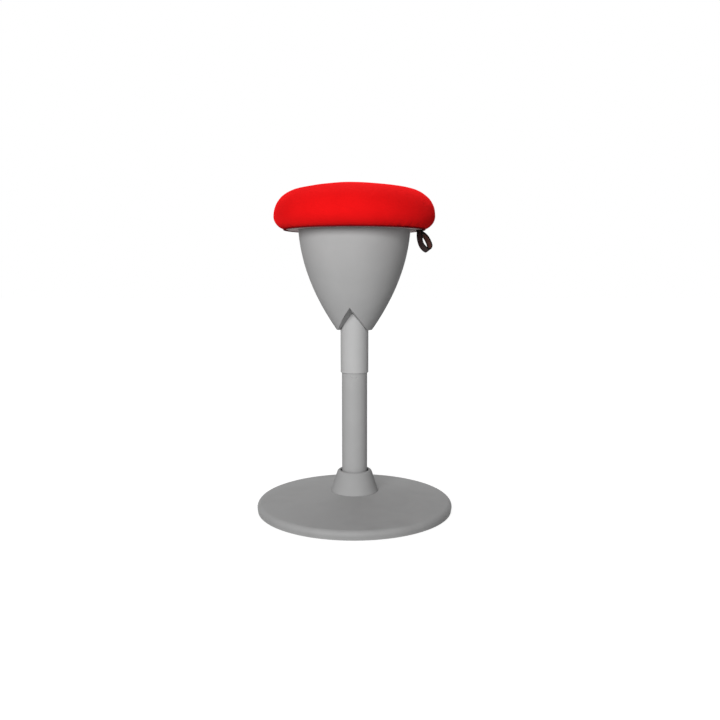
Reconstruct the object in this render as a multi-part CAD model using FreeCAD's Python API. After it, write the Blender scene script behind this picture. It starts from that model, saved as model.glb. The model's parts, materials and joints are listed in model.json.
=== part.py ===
# Wobble stool: a round cushion on a gas-lift column that tilts in a rubber joint in its foot disc.
# Millimetres, +Z up, origin on the floor at the centre of the foot disc.
# Azimuths are in degrees from +X towards +Y, and the front of the stool faces -Y.

import FreeCAD
import Part
import math
import os

Vector = FreeCAD.Vector

# Foot disc
base_radius = 193.5
base_wall = 3.0
rim_height = 18.5
rim_round = 6.0
skirt_gap = 1.5
base_hole_room = 13.0
joint_pad_margin = 5.0
joint_pad_thickness = 8.0
floor_ring_width = 10.0
floor_ring_height = 9.0
groove_wall = 3.0
radial_rib_count = 12
radial_rib_thickness = 2.0

# Ballast plate under the foot disc
ballast_thickness = 8.0
ballast_lift = 2.5
ballast_inner_gap = 2.0
ballast_outer_gap = 9.0
ballast_screw_circle = 120.0
ballast_screw_count = 6

# Screws: radius of the shank, radius and height of the head
small_screw = (2.5, 4.6, 3.0)
bolt = (3.0, 5.2, 3.6)
screw_clearance = 0.2

# Rubber tilt joint, from the cup floor up
cup_lift = 3.0
cup_wall = 2.5
cup_room = 8.0
cup_flange_width = 17.0
cup_screw_inset = 6.0
cup_screw_count = 6
rubber_thickness = 4.5
tilt_washer_thickness = 2.0
tilt_washer_inset = 4.0
tilt_washer_bore = 14.0
foot_flange_width = 7.0
foot_flange_thickness = 5.0
upper_rubber_thickness = 4.8
clamp_ring_thickness = 2.5
clamp_ring_room = 4.0
body_gap = 0.2

# Column tube of the gas lift
column_radius = 25.0
column_wall = 2.0
column_top = 300.0
foot_hub_height = 16.5
foot_plate_thickness = 10.0
foot_recess_radius = 13.0
crimp_drop = 33.4
crimp_radius = 2.2
crimp_depth = 0.9
crimp_half_spacing = 11.0
crimp_azimuth = -92.0

# Guide bush at the mouth of the column tube
bush_length = 85.0
bush_flange_thickness = 3.0

# Gas spring: rod, piston and pressure cylinder
rod_radius = 5.0
rod_step = 1.0
rod_tail_length = 26.0
rod_clip_width = 4.0
fit_gap = 0.05
thrust_washer_thickness = 2.0
thrust_washer_rim = 3.5
thrust_ball_radius = 1.95
thrust_ball_room = 5.5
thrust_ball_count = 10
bump_stop_height = 28.6
piston_height = 10.0
piston_gap = 0.3
piston_stop_gap = 0.4
piston_stub_step = 1.5
piston_ring_height = 3.0
cylinder_radius = 14.0
cylinder_wall = 2.0
cylinder_length = 295.0
cylinder_lip = 2.0
cylinder_seat_gap = 6.0
taper_length = 45.0
taper_fall = 1.1
end_guide_height = 9.2
release_pin_radius = 4.0
release_pin_length = 45.9
release_travel_room = 3.5

# Telescopic sleeve under the seat
sleeve_clearance = 1.0
sleeve_wall = 1.3
sleeve_length = 228.0
sleeve_lip_width = 2.5
sleeve_lip_thickness = 3.0
glide_height = 10.0

# Rubber collar round the foot of the column
collar_height = 42.5
collar_foot_width = 9.0
collar_top_room = 9.8
collar_lip_round = 5.5
collar_wall = 3.0
collar_grip_gap = 0.3

# Seat height and cushion
seat_underside = 551.0
cushion_radius = 155.9
cushion_height = 87.5
cushion_widest_rise = 25.0
cushion_overhang = 21.9
cushion_foot_gap = 0.6
shoulder_radius = 50.0
cover_thickness = 1.5
hem_width = 4.0
hem_thickness = 1.6

# Seat shell stack
board_thickness = 10.0
pan_inset = 3.0
pan_thickness = 2.5
pan_height = 16.5
pan_screw_inset = 15.0
pan_screw_count = 5
pan_screw_azimuth = 36.0
seat_plate_thickness = 3.0
plate_inset = 33.0
plate_flange_width = 20.0
plate_rise_width = 12.0
plate_overlap = 6.0
plate_bolt_inset = 10.0
plate_bolt_count = 4
plate_bolt_azimuth = 45.0
hub_wall = 6.0
tee_nut_radius = 9.0
tee_nut_flange = 1.5

# Cone shell, a parabola that is widest at the belly
cone_inset = 25.4
cone_belly_rise = 20.9
cone_depth = 192.0
cone_tip_room = 4.42
cone_wall = 3.0
cone_flange_width = 17.0
cone_screw_inset = 10.0
cone_screw_count = 4
cone_screw_azimuth = 45.0
cone_rib_count = 6
cone_rib_thickness = 2.0
guide_tube_wall = 2.6
guide_tube_gap = 0.4
notch_azimuths = (-98.0, 82.0)
notch_rise = 45.0
notch_fall = 19.5
notch_half_angle = 44.0
notch_wall = 2.5

# Release lever and strap
lever_pivot_inset = 16.0
lever_pin_radius = 2.5
lever_eye_radius = 4.2
lever_width = 14.0
lever_thickness = 4.0
lever_lift = 6.5
lever_side_gap = 0.5
lever_gate_room = 3.0
lever_gate_length = 24.0
lever_pad_radius = 4.5
pad_gap = 0.3
ear_thickness = 3.0
ear_length = 16.0
strap_anchor_inset = 14.4
strap_anchor_y = -8.0
strap_azimuth = 46.0
strap_width = 13.6
strap_thickness = 1.8
strap_tail = 3.6
strap_drop = 39.0
strap_reach = 46.5
strap_twist = 3.3
strap_sway = 1.2
strap_slot_length = 27.0
strap_slot_room = 10.0
rivet_radius = 1.5
rivet_head_radius = 3.2
rivet_head_height = 1.2

# Levels that follow from the stack of the tilt joint
cup_floor_top = cup_lift + cup_wall
washer_bottom = cup_floor_top + rubber_thickness
washer_top = washer_bottom + tilt_washer_thickness
foot_bottom = washer_top + rubber_thickness
foot_top = foot_bottom + foot_flange_thickness
clamp_bottom = foot_top + body_gap + upper_rubber_thickness
clamp_top = clamp_bottom + clamp_ring_thickness
cup_flange_bottom = clamp_bottom - cup_wall
dome_height = clamp_top + joint_pad_thickness
collar_top = dome_height + collar_height

# Radii that follow from the column tube
column_bore = column_radius - column_wall
clamp_ring_bore = column_radius + clamp_ring_room
foot_flange_radius = column_radius + foot_flange_width
tilt_washer_radius = foot_flange_radius - tilt_washer_inset
cup_inner_radius = foot_flange_radius + cup_room
cup_flange_radius = cup_inner_radius + cup_flange_width
cup_screw_circle = cup_flange_radius - cup_screw_inset
joint_pad_radius = cup_flange_radius + joint_pad_margin
base_hole_radius = column_radius + base_hole_room
collar_foot_radius = base_hole_radius + collar_foot_width
collar_top_radius = column_radius + collar_top_room
ballast_inner_radius = joint_pad_radius + ballast_inner_gap
sleeve_bore = column_radius + sleeve_clearance
sleeve_radius = sleeve_bore + sleeve_wall
sleeve_lip_radius = sleeve_radius + sleeve_lip_width
guide_tube_radius = sleeve_radius + guide_tube_gap
guide_tube_outer = guide_tube_radius + guide_tube_wall

# Rings under the foot disc, from its rim inwards
skirt_inner_radius = base_radius - base_wall - 0.5
groove_inner_radius = skirt_inner_radius - floor_ring_width
rib_ring_radius = groove_inner_radius - groove_wall
ballast_outer_radius = rib_ring_radius - ballast_outer_gap

# Levels and radii of the thrust bearing, from the foot of the column up
rod_tail_radius = rod_radius - rod_step
thrust_ball_circle = rod_tail_radius + thrust_ball_room
thrust_washer_radius = thrust_ball_circle + thrust_washer_rim
hub_top = foot_top + foot_hub_height
ball_level = hub_top + thrust_washer_thickness + thrust_ball_radius + fit_gap
high_washer_bottom = ball_level + thrust_ball_radius + fit_gap
rod_shoulder = high_washer_bottom + thrust_washer_thickness
clip_groove_top = hub_top - foot_plate_thickness - body_gap
clip_groove_bottom = clip_groove_top - 1.5

# Levels and radii of the gas spring, from the seat down
cylinder_top = seat_underside - cylinder_seat_gap
cylinder_bottom = cylinder_top - cylinder_length
cylinder_bore = cylinder_radius - cylinder_wall
taper_tip_radius = cylinder_radius - taper_fall
taper_bottom = cylinder_top - taper_length
end_guide_bottom = cylinder_bottom + 0.8
piston_radius = cylinder_bore - piston_gap
piston_stub_radius = rod_radius - piston_stub_step
piston_bottom = end_guide_bottom + end_guide_height + piston_stop_gap
piston_top = piston_bottom + piston_height
piston_groove_bottom = piston_bottom + (piston_height - piston_ring_height) / 2
piston_groove_top = piston_groove_bottom + piston_ring_height

# Levels and radii of the seat stack
board_radius = cushion_radius - cushion_overhang
cushion_foot_radius = board_radius + cushion_foot_gap
crown_height = seat_underside + cushion_height
cushion_widest_height = seat_underside + cushion_widest_rise
pan_radius = board_radius - pan_inset
pan_screw_circle = pan_radius - pan_screw_inset
pan_floor_top = seat_underside + pan_thickness
board_bottom = seat_underside + pan_height
board_top = board_bottom + board_thickness
plate_flange_radius = pan_radius - plate_inset
plate_rise_radius = plate_flange_radius - plate_flange_width
plate_flat_radius = plate_rise_radius - plate_rise_width
plate_bolt_circle = plate_flange_radius - plate_bolt_inset
pan_hole_radius = plate_flat_radius - plate_overlap
hub_radius = cylinder_radius + hub_wall
plate_bottom = pan_floor_top
plate_top = plate_bottom + seat_plate_thickness
plate_flange_bottom = board_bottom - seat_plate_thickness
lever_pivot_x = lever_pivot_inset - plate_flat_radius
lever_axis_z = plate_top + lever_lift
lever_bottom = lever_axis_z - lever_thickness / 2
lever_top = lever_axis_z + lever_thickness / 2
release_pin_top = plate_top + 0.4
strap_anchor_x = pan_radius - strap_anchor_inset

# Levels of the sleeve, which hangs under the hub of the seat plate
sleeve_top = taper_bottom + 3.0
sleeve_bottom = sleeve_top - sleeve_length
guide_tube_top = sleeve_top - sleeve_lip_thickness
hub_bottom = sleeve_top + 0.3

# Cone shell: R = cone_belly_radius - cone_curve * (cone_belly_height - z)^2
cone_belly_radius = board_radius - cone_inset
cone_belly_height = seat_underside + cone_belly_rise
cone_tip_height = seat_underside - cone_depth
cone_tip_radius = guide_tube_outer + cone_tip_room
cone_curve = (cone_belly_radius - cone_tip_radius) / (cone_belly_height - cone_tip_height) ** 2
notch_outer_height = cone_tip_height + notch_rise


def point(radius, height):
    return Vector(radius, 0, height)


def outline(start, *steps):
    """A closed face in the XZ plane. A step is (r, z) for a line, (mid, end) for an arc,
    or (handle, handle, end) for a Bezier curve."""
    edges = []
    here = start
    for step in list(steps) + [start]:
        if not isinstance(step[0], tuple):
            end = step
            if point(*here).distanceToPoint(point(*end)) > 1e-6:
                edges.append(Part.makeLine(point(*here), point(*end)))
        elif len(step) == 2:
            end = step[1]
            edges.append(Part.Arc(point(*here), point(*step[0]), point(*end)).toShape())
        else:
            end = step[2]
            curve = Part.BezierCurve()
            curve.setPoles([point(*here), point(*step[0]), point(*step[1]), point(*end)])
            edges.append(curve.toShape())
        here = end
    return Part.Face(Part.Wire(edges))


def turned(start, *steps):
    """A solid of revolution about Z from a closed outline."""
    return outline(start, *steps).revolve(Vector(0, 0, 0), Vector(0, 0, 1), 360)


def disc(radius, bottom, top, x=0.0, y=0.0):
    return Part.makeCylinder(radius, top - bottom, Vector(x, y, bottom))


def ring(inner, outer, bottom, top):
    return disc(outer, bottom, top).cut(disc(inner, bottom - 1, top + 1))


def box(x0, x1, y0, y1, z0, z1):
    return Part.makeBox(x1 - x0, y1 - y0, z1 - z0, Vector(x0, y0, z0))


def turn(shape, degrees):
    copy = shape.copy()
    copy.rotate(Vector(0, 0, 0), Vector(0, 0, 1), degrees)
    return copy


def around(shape, count, first=0.0):
    return [turn(shape, first + 360.0 * i / count) for i in range(count)]


def group(shapes):
    return Part.makeCompound(shapes)


def screw(sizes, x, head_bottom, tip):
    """A screw along Z at x, with its head below. Its head has a chamfered edge."""
    shank, head, height = sizes
    edge = height / 4
    body = turned(
        (0, head_bottom),
        (head - edge, head_bottom),
        (head, head_bottom + edge),
        (head, head_bottom + height),
        (shank, head_bottom + height),
        (shank, tip - shank / 2),
        (shank / 2, tip),
        (0, tip),
    )
    body.translate(Vector(x, 0, 0))
    return body


def downward_screw(sizes, x, head_top, tip):
    body = screw(sizes, 0, -head_top, -tip)
    body.rotate(Vector(0, 0, 0), Vector(1, 0, 0), 180)
    body.translate(Vector(x, 0, 0))
    return body


# Foot disc and its ballast

def dome_top(radius):
    """Height of the foot disc's upper face at a radius, on the straight fall from collar to rim."""
    share = (radius - collar_foot_radius) / (base_radius - rim_round - 2 - collar_foot_radius)
    return dome_height - (dome_height - rim_height) * share


def base_shell():
    """Moulded disc: domed top, rounded rim, skirt, joint pad, ribs and screw bosses beneath."""
    edge = base_radius - rim_round - 2
    side = rim_height - rim_round - 4
    outer = (
        (collar_foot_radius, dome_height),
        (edge, rim_height),
        ((base_radius - 2.2, rim_height - 3.2), (base_radius, side)),
        (base_radius - 1, skirt_gap),
    )
    under_rim = rim_height - base_wall - 1
    shell = turned(
        (base_hole_radius, dome_height),
        *outer,
        (skirt_inner_radius, skirt_gap),
        (skirt_inner_radius, under_rim - 2),
        (groove_inner_radius, under_rim),
        (groove_inner_radius, floor_ring_height / 2),
        (rib_ring_radius, floor_ring_height / 2),
        (rib_ring_radius, under_rim + 0.6),
        (joint_pad_radius, dome_top(joint_pad_radius) - base_wall),
        (joint_pad_radius, clamp_top),
        (base_hole_radius, clamp_top),
    )
    ballast_top = ballast_lift + ballast_thickness
    half = radial_rib_thickness / 2
    rib = box(joint_pad_radius - 1, rib_ring_radius + 1, -half, half, ballast_top, dome_height)
    boss = disc(small_screw[1] + 1.5, ballast_top, dome_height, ballast_screw_circle)
    ribs = around(rib, radial_rib_count, 360.0 / radial_rib_count / 2)
    bosses = around(boss, ballast_screw_count)
    space = turned(
        (0, -1),
        (rib_ring_radius + 1, -1),
        (rib_ring_radius + 1, under_rim + 0.7),
        (joint_pad_radius - 1, dome_top(joint_pad_radius - 1) - base_wall + 0.1),
        (0, dome_top(joint_pad_radius) - base_wall),
    )
    inside = ribs[0].multiFuse(ribs[1:] + bosses).common(space)
    shell = shell.fuse(inside)
    bore = small_screw[0] + fit_gap
    holes = around(disc(bore, -1, ballast_top + 14, ballast_screw_circle), ballast_screw_count)
    holes += around(disc(bore, clamp_top - 1, dome_height - 2, cup_screw_circle), cup_screw_count)
    return shell.cut(group(holes)).removeSplitter()


def ballast_plate():
    """Cast ring with counterbored holes, screwed against the bosses of the shell."""
    top = ballast_lift + ballast_thickness
    plate = turned(
        (ballast_inner_radius, ballast_lift),
        (ballast_outer_radius - 2, ballast_lift),
        (ballast_outer_radius, ballast_lift + 2),
        (ballast_outer_radius, top),
        (ballast_inner_radius, top),
    )
    shank, head, height = small_screw
    hole = disc(shank + screw_clearance, 0, top + 1, ballast_screw_circle)
    seat = disc(head + screw_clearance, 0, ballast_lift + height + 0.5, ballast_screw_circle)
    return plate.cut(group(around(hole.fuse(seat), ballast_screw_count)))


def ballast_screws():
    head_bottom = ballast_lift + 0.5
    one = screw(small_screw, ballast_screw_circle, head_bottom, head_bottom + 18)
    return group(around(one, ballast_screw_count))


def floor_ring():
    """Rubber ring pressed into the groove of the skirt. The stool stands on it."""
    outer = skirt_inner_radius - body_gap
    inner = groove_inner_radius + body_gap
    return turned(
        (inner + 2, 0),
        (outer - 2, 0),
        (outer, 2),
        (outer, floor_ring_height),
        (inner, floor_ring_height),
        (inner, 2),
    )


# Rubber tilt joint

def joint_cup():
    """Pressed steel cup with a flange, which holds the rubber rings under the foot disc."""
    outer = cup_inner_radius + cup_wall
    cup = turned(
        (0, cup_lift),
        (outer - 4, cup_lift),
        ((outer - 1.2, cup_lift + 1.2), (outer, cup_lift + 4)),
        (outer, cup_flange_bottom),
        (cup_flange_radius, cup_flange_bottom),
        (cup_flange_radius, clamp_bottom),
        (cup_inner_radius, clamp_bottom),
        (cup_inner_radius, cup_floor_top),
        (0, cup_floor_top),
    )
    hole = disc(small_screw[0] + screw_clearance, 0, clamp_top, cup_screw_circle)
    return cup.cut(group(around(hole, cup_screw_count)))


def clamp_ring():
    plate = ring(clamp_ring_bore, cup_flange_radius, clamp_bottom, clamp_top)
    hole = disc(small_screw[0] + screw_clearance, 0, clamp_top + 1, cup_screw_circle)
    return plate.cut(group(around(hole, cup_screw_count)))


def cup_screws():
    head_bottom = cup_flange_bottom - small_screw[2]
    one = screw(small_screw, cup_screw_circle, head_bottom, dome_height - 3)
    return group(around(one, cup_screw_count))


def rubber_ring(inner, outer, bottom, top):
    """Rubber ring with hollow flanks, which leave it room to bulge."""
    middle = (bottom + top) / 2
    hollow = (top - bottom) / 6
    return turned(
        (inner, bottom),
        (outer, bottom),
        ((outer - hollow, middle), (outer, top)),
        (inner, top),
        ((inner + hollow, middle), (inner, bottom)),
    )


def lower_rubber():
    return rubber_ring(tilt_washer_bore + 1, tilt_washer_radius, cup_floor_top, washer_bottom - body_gap)


def tilt_washer():
    return ring(tilt_washer_bore, tilt_washer_radius, washer_bottom, washer_top)


def middle_rubber():
    return rubber_ring(tilt_washer_bore + 1, tilt_washer_radius, washer_top, foot_bottom - body_gap)


def upper_rubber():
    return rubber_ring(clamp_ring_bore - 2, cup_inner_radius - 2, foot_top + body_gap, clamp_bottom)


def collar_boot():
    """Conical rubber collar with a rounded lip that closes softly on the column tube."""
    lip_inner = column_radius + collar_grip_gap
    lip_side = collar_top - collar_lip_round
    foot_inner = collar_foot_radius - collar_wall
    neck = collar_top_radius - collar_wall
    return turned(
        (foot_inner, dome_height),
        (collar_foot_radius, dome_height),
        (collar_foot_radius, dome_height + 1.5),
        ((collar_top_radius + 4.5, (dome_height + lip_side) / 2 + 2), (collar_top_radius, lip_side)),
        ((collar_top_radius - 2.5, collar_top - 1.2), (collar_top_radius - 6, collar_top)),
        ((lip_inner + 0.8, collar_top - 0.6), (lip_inner, collar_top - 2.5)),
        (lip_inner, collar_top - 6),
        (neck, collar_top - 9),
        (foot_inner, dome_height + 3),
    )


# Column

def column_foot():
    """Flange clamped between the rubber rings, with a hub that the tube is welded round."""
    hub = column_bore - fit_gap
    recess_top = hub_top - foot_plate_thickness
    bore = rod_tail_radius + 0.08
    return turned(
        (foot_recess_radius, foot_bottom),
        (foot_flange_radius - 1, foot_bottom),
        (foot_flange_radius, foot_bottom + 1),
        (foot_flange_radius, foot_top - 1),
        (foot_flange_radius - 1, foot_top),
        (hub, foot_top),
        (hub, hub_top),
        (bore, hub_top),
        (bore, recess_top),
        (foot_recess_radius, recess_top),
    )


def column_tube():
    """Steel tube with crimps that lock the guide bush."""
    tube = turned(
        (column_bore, foot_top),
        (column_radius, foot_top),
        (column_radius, column_top - 0.8),
        (column_radius - 0.8, column_top),
        (column_bore, column_top),
    )
    reach = (crimp_radius ** 2 + crimp_depth ** 2) / (2 * crimp_depth)
    ball = Part.makeSphere(reach, Vector(column_radius - crimp_depth + reach, 0, column_top - crimp_drop))
    pair = [turn(ball, crimp_azimuth - crimp_half_spacing), turn(ball, crimp_azimuth + crimp_half_spacing)]
    crimps = [turn(one, side) for one in pair for side in (0, 120, 240)]
    return tube.cut(group(crimps))


def guide_bush():
    """Plastic bush that guides the pressure cylinder, with a flange on the mouth of the tube."""
    outer = column_bore - fit_gap
    inner = cylinder_radius + fit_gap
    return turned(
        (inner + 1, column_top - bush_length),
        (outer - 1, column_top - bush_length),
        (outer, column_top - bush_length + 1),
        (outer, column_top),
        (column_radius, column_top),
        (column_radius, column_top + bush_flange_thickness - 1),
        (column_radius - 1, column_top + bush_flange_thickness),
        (inner + 1, column_top + bush_flange_thickness),
        (inner, column_top + bush_flange_thickness - 1),
        (inner, column_top - bush_length + 1),
    )


def thrust_washer_low():
    return ring(rod_tail_radius + 0.3, thrust_washer_radius, hub_top, hub_top + thrust_washer_thickness)


def thrust_balls():
    ball = Part.makeSphere(thrust_ball_radius, Vector(thrust_ball_circle, 0, ball_level))
    return group(around(ball, thrust_ball_count))


def ball_cage():
    inner = thrust_ball_circle - thrust_ball_radius - 1.5
    outer = thrust_ball_circle + thrust_ball_radius + 1.5
    cage = ring(inner, outer, ball_level - 0.9, ball_level + 0.9)
    pocket = disc(thrust_ball_radius + 0.2, ball_level - 2, ball_level + 2, thrust_ball_circle)
    return cage.cut(group(around(pocket, thrust_ball_count)))


# Rod, which swivels in the thrust bearing

def piston_rod():
    tail_bottom = rod_shoulder - rod_tail_length
    groove_radius = rod_tail_radius - 1
    stub_top = piston_top + 1.5
    return turned(
        (0, tail_bottom),
        (rod_tail_radius - 0.8, tail_bottom),
        (rod_tail_radius, tail_bottom + 0.8),
        (rod_tail_radius, clip_groove_bottom),
        (groove_radius, clip_groove_bottom),
        (groove_radius, clip_groove_top),
        (rod_tail_radius, clip_groove_top),
        (rod_tail_radius, rod_shoulder),
        (rod_radius, rod_shoulder),
        (rod_radius, piston_bottom),
        (piston_stub_radius, piston_bottom),
        (piston_stub_radius, stub_top),
        (0, stub_top),
    )


def rod_clip():
    """Spring clip in the groove at the tail of the rod, open on one side."""
    inner = rod_tail_radius - 1 + fit_gap
    outer = rod_tail_radius + rod_clip_width
    clip = ring(inner, outer, clip_groove_bottom + 0.1, clip_groove_top - 0.1)
    mouth = box(0, outer, -2, 2, clip_groove_bottom, clip_groove_top)
    return clip.cut(mouth)


def thrust_washer_high():
    return ring(rod_tail_radius + 0.1, thrust_washer_radius, high_washer_bottom, rod_shoulder)


def bump_stop():
    """Rubber buffer on the rod, which the cylinder's lip meets at the bottom of its travel."""
    inner = rod_radius + 0.1
    outer = cylinder_bore - 0.5
    top = rod_shoulder + bump_stop_height
    return turned(
        (inner, rod_shoulder),
        (outer, rod_shoulder),
        (outer, top - 1),
        (outer - 1, top),
        (inner, top),
    )


def piston():
    groove_radius = piston_radius - 2
    return turned(
        (piston_stub_radius + 0.1, piston_bottom),
        (piston_radius, piston_bottom),
        (piston_radius, piston_groove_bottom),
        (groove_radius, piston_groove_bottom),
        (groove_radius, piston_groove_top),
        (piston_radius, piston_groove_top),
        (piston_radius, piston_top),
        (piston_stub_radius + 0.1, piston_top),
    )


def piston_ring():
    inner = piston_radius - 1.9
    return ring(inner, cylinder_bore - fit_gap, piston_groove_bottom + 0.1, piston_groove_top - 0.1)


# Gas cylinder and sleeve, which rise and fall with the seat

def gas_cylinder():
    """Pressure cylinder: rolled lip below, tapered seat and bore for the release pin above."""
    pin_bore = release_pin_radius + 0.1
    pin_floor = release_pin_top - release_pin_length - release_travel_room
    lip = cylinder_bore - cylinder_lip
    return turned(
        (lip, cylinder_bottom),
        (cylinder_radius - 1, cylinder_bottom),
        (cylinder_radius, cylinder_bottom + 1),
        (cylinder_radius, taper_bottom),
        (taper_tip_radius, cylinder_top),
        (pin_bore, cylinder_top),
        (pin_bore, pin_floor),
        (0, pin_floor),
        (0, taper_bottom),
        (cylinder_bore, taper_bottom),
        (cylinder_bore, end_guide_bottom),
        (lip, end_guide_bottom),
    )


def cylinder_end_guide():
    """Rod guide and seal in the lower end of the cylinder."""
    outer = cylinder_bore - fit_gap
    top = end_guide_bottom + end_guide_height
    return turned(
        (rod_radius + fit_gap, end_guide_bottom),
        (outer, end_guide_bottom),
        (outer, top),
        (rod_radius + 2, top),
        (rod_radius + fit_gap, top - 2),
    )


def release_button():
    """Release pin in the top of the cylinder, with a domed head."""
    bottom = release_pin_top - release_pin_length
    return turned(
        (0, bottom),
        (release_pin_radius, bottom),
        (release_pin_radius, release_pin_top - 1),
        ((release_pin_radius - 0.5, release_pin_top - 0.3), (release_pin_radius - 2, release_pin_top)),
        (0, release_pin_top),
    )


def upper_sleeve():
    """Telescopic cover tube, hung by its lip on the guide tube of the cone."""
    return turned(
        (sleeve_bore, sleeve_bottom + 0.4),
        (sleeve_bore + 0.3, sleeve_bottom),
        (sleeve_radius - 0.6, sleeve_bottom),
        (sleeve_radius, sleeve_bottom + 0.6),
        (sleeve_radius, guide_tube_top),
        (sleeve_lip_radius, guide_tube_top),
        (sleeve_lip_radius, sleeve_top),
        (sleeve_bore, sleeve_top),
    )


def sleeve_glide():
    """Plastic band inside the sleeve's mouth that runs on the column tube."""
    bottom = sleeve_bottom + 2
    return ring(column_radius + 0.3, sleeve_bore - fit_gap, bottom, bottom + glide_height)


# Cone shell

def cone_radius(height):
    return cone_belly_radius - cone_curve * (cone_belly_height - height) ** 2


cone_screw_circle = cone_radius(seat_underside) - cone_wall - cone_screw_inset


def cone_solid(inset, bottom, top):
    """Solid inside the parabola of the cone, moved in by inset. A quadratic Bezier holds it exactly."""
    low = cone_radius(bottom) - inset
    high = cone_radius(top) - inset
    slope = 2 * cone_curve * (cone_belly_height - bottom)
    middle = (bottom + top) / 2
    curve = Part.BezierCurve()
    curve.setPoles([point(low, bottom), point(low + slope * (middle - bottom), middle), point(high, top)])
    edges = [
        curve.toShape(),
        Part.makeLine(point(high, top), point(0, top)),
        Part.makeLine(point(0, top), point(0, bottom)),
        Part.makeLine(point(0, bottom), point(low, bottom)),
    ]
    return Part.Face(Part.Wire(edges)).revolve(Vector(0, 0, 0), Vector(0, 0, 1), 360)


def notch(azimuth, lift):
    """V-shaped prism whose ridge falls towards the axis. lift raises it and so widens it by a wall."""
    outer_radius = cone_radius(notch_outer_height)
    fall = math.tan(math.radians(notch_fall))
    spread = math.tan(math.radians(notch_half_angle))
    depth = 2 * cone_depth
    reach = 1.5 * cone_belly_radius
    ridge_out = notch_outer_height + lift + (reach - outer_radius) * fall
    far = Part.Wire(Part.makePolygon([
        Vector(reach, 0, ridge_out),
        Vector(reach, -depth * spread, ridge_out - depth),
        Vector(reach, depth * spread, ridge_out - depth),
        Vector(reach, 0, ridge_out),
    ]))
    prism = Part.Face(far).extrude(Vector(-reach, 0, -reach * fall))
    return turn(prism, azimuth)


def cone_shell():
    """Moulded cone: parabolic shell, guide tube, return walls along both notches, ribs and top flange."""
    top = seat_underside
    flange_bottom = top - cone_wall
    shell = cone_solid(0, cone_tip_height, top)
    cavity = cone_solid(cone_wall, cone_tip_height + 2, flange_bottom)
    cavity = cavity.cut(disc(guide_tube_outer, 0, top))
    wall_lift = notch_wall / math.sin(math.radians(notch_half_angle))
    for azimuth in notch_azimuths:
        cavity = cavity.cut(notch(azimuth, wall_lift))
        shell = shell.cut(notch(azimuth, 0))
    half = cone_rib_thickness / 2
    rib = box(guide_tube_outer - 1, cone_belly_radius, -half, half, cone_tip_height, guide_tube_top - 20)
    mouth = cone_radius(top) - cone_wall - cone_flange_width
    boss = disc(small_screw[1] + 1.4, top - 24, top, cone_screw_circle)
    cavity = cavity.cut(group(around(rib, cone_rib_count, notch_azimuths[0] + 30)))
    cavity = cavity.cut(group(around(boss, cone_screw_count, cone_screw_azimuth)))
    shell = shell.cut(cavity)
    shell = shell.cut(ring(guide_tube_outer, mouth, flange_bottom - 1, top + 1))
    shell = shell.cut(disc(guide_tube_radius, 0, guide_tube_top + 1))
    shell = shell.cut(disc(guide_tube_outer + 1, guide_tube_top, top + 1))
    hole = disc(small_screw[0] + fit_gap, top - 22, top + 1, cone_screw_circle)
    return shell.cut(group(around(hole, cone_screw_count, cone_screw_azimuth)))


def cone_screws():
    head_top = pan_floor_top + small_screw[2]
    one = downward_screw(small_screw, cone_screw_circle, head_top, seat_underside - 18)
    return group(around(one, cone_screw_count, cone_screw_azimuth))


# Seat shell

def strap_slot(bottom, top):
    start = strap_anchor_x - strap_slot_length / 2
    near = strap_anchor_y - strap_slot_room
    far = lever_width / 2 + screw_clearance + strap_slot_room / 4
    return box(start, pan_radius + 5, near, far, bottom, top)


def under_pan():
    """Shallow moulded pan that closes the seat from below, with a slot for the strap."""
    pan = turned(
        (pan_hole_radius, seat_underside),
        (pan_radius - 2, seat_underside),
        ((pan_radius - 0.6, seat_underside + 0.6), (pan_radius, seat_underside + 2)),
        (pan_radius, board_bottom),
        (pan_radius - pan_thickness, board_bottom),
        (pan_radius - pan_thickness, pan_floor_top),
        (pan_hole_radius, pan_floor_top),
    )
    boss = disc(small_screw[1] + 1.2, pan_floor_top, board_bottom, pan_screw_circle)
    bosses = around(boss, pan_screw_count, pan_screw_azimuth)
    pan = pan.multiFuse(bosses)
    shank, head, height = small_screw
    through = disc(shank + screw_clearance, 0, board_bottom + 1, pan_screw_circle)
    counterbore = disc(head + screw_clearance, 0, seat_underside + height + 0.3, pan_screw_circle)
    cuts = around(through.fuse(counterbore), pan_screw_count, pan_screw_azimuth)
    hole = disc(shank + screw_clearance, 0, board_bottom, cone_screw_circle)
    cuts += around(hole, cone_screw_count, cone_screw_azimuth)
    cuts.append(strap_slot(seat_underside - 1, board_bottom + 1))
    return pan.cut(group(cuts)).removeSplitter()


def pan_screws():
    one = screw(small_screw, pan_screw_circle, seat_underside + 0.3, board_top - 2)
    return group(around(one, pan_screw_count, pan_screw_azimuth))


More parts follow.
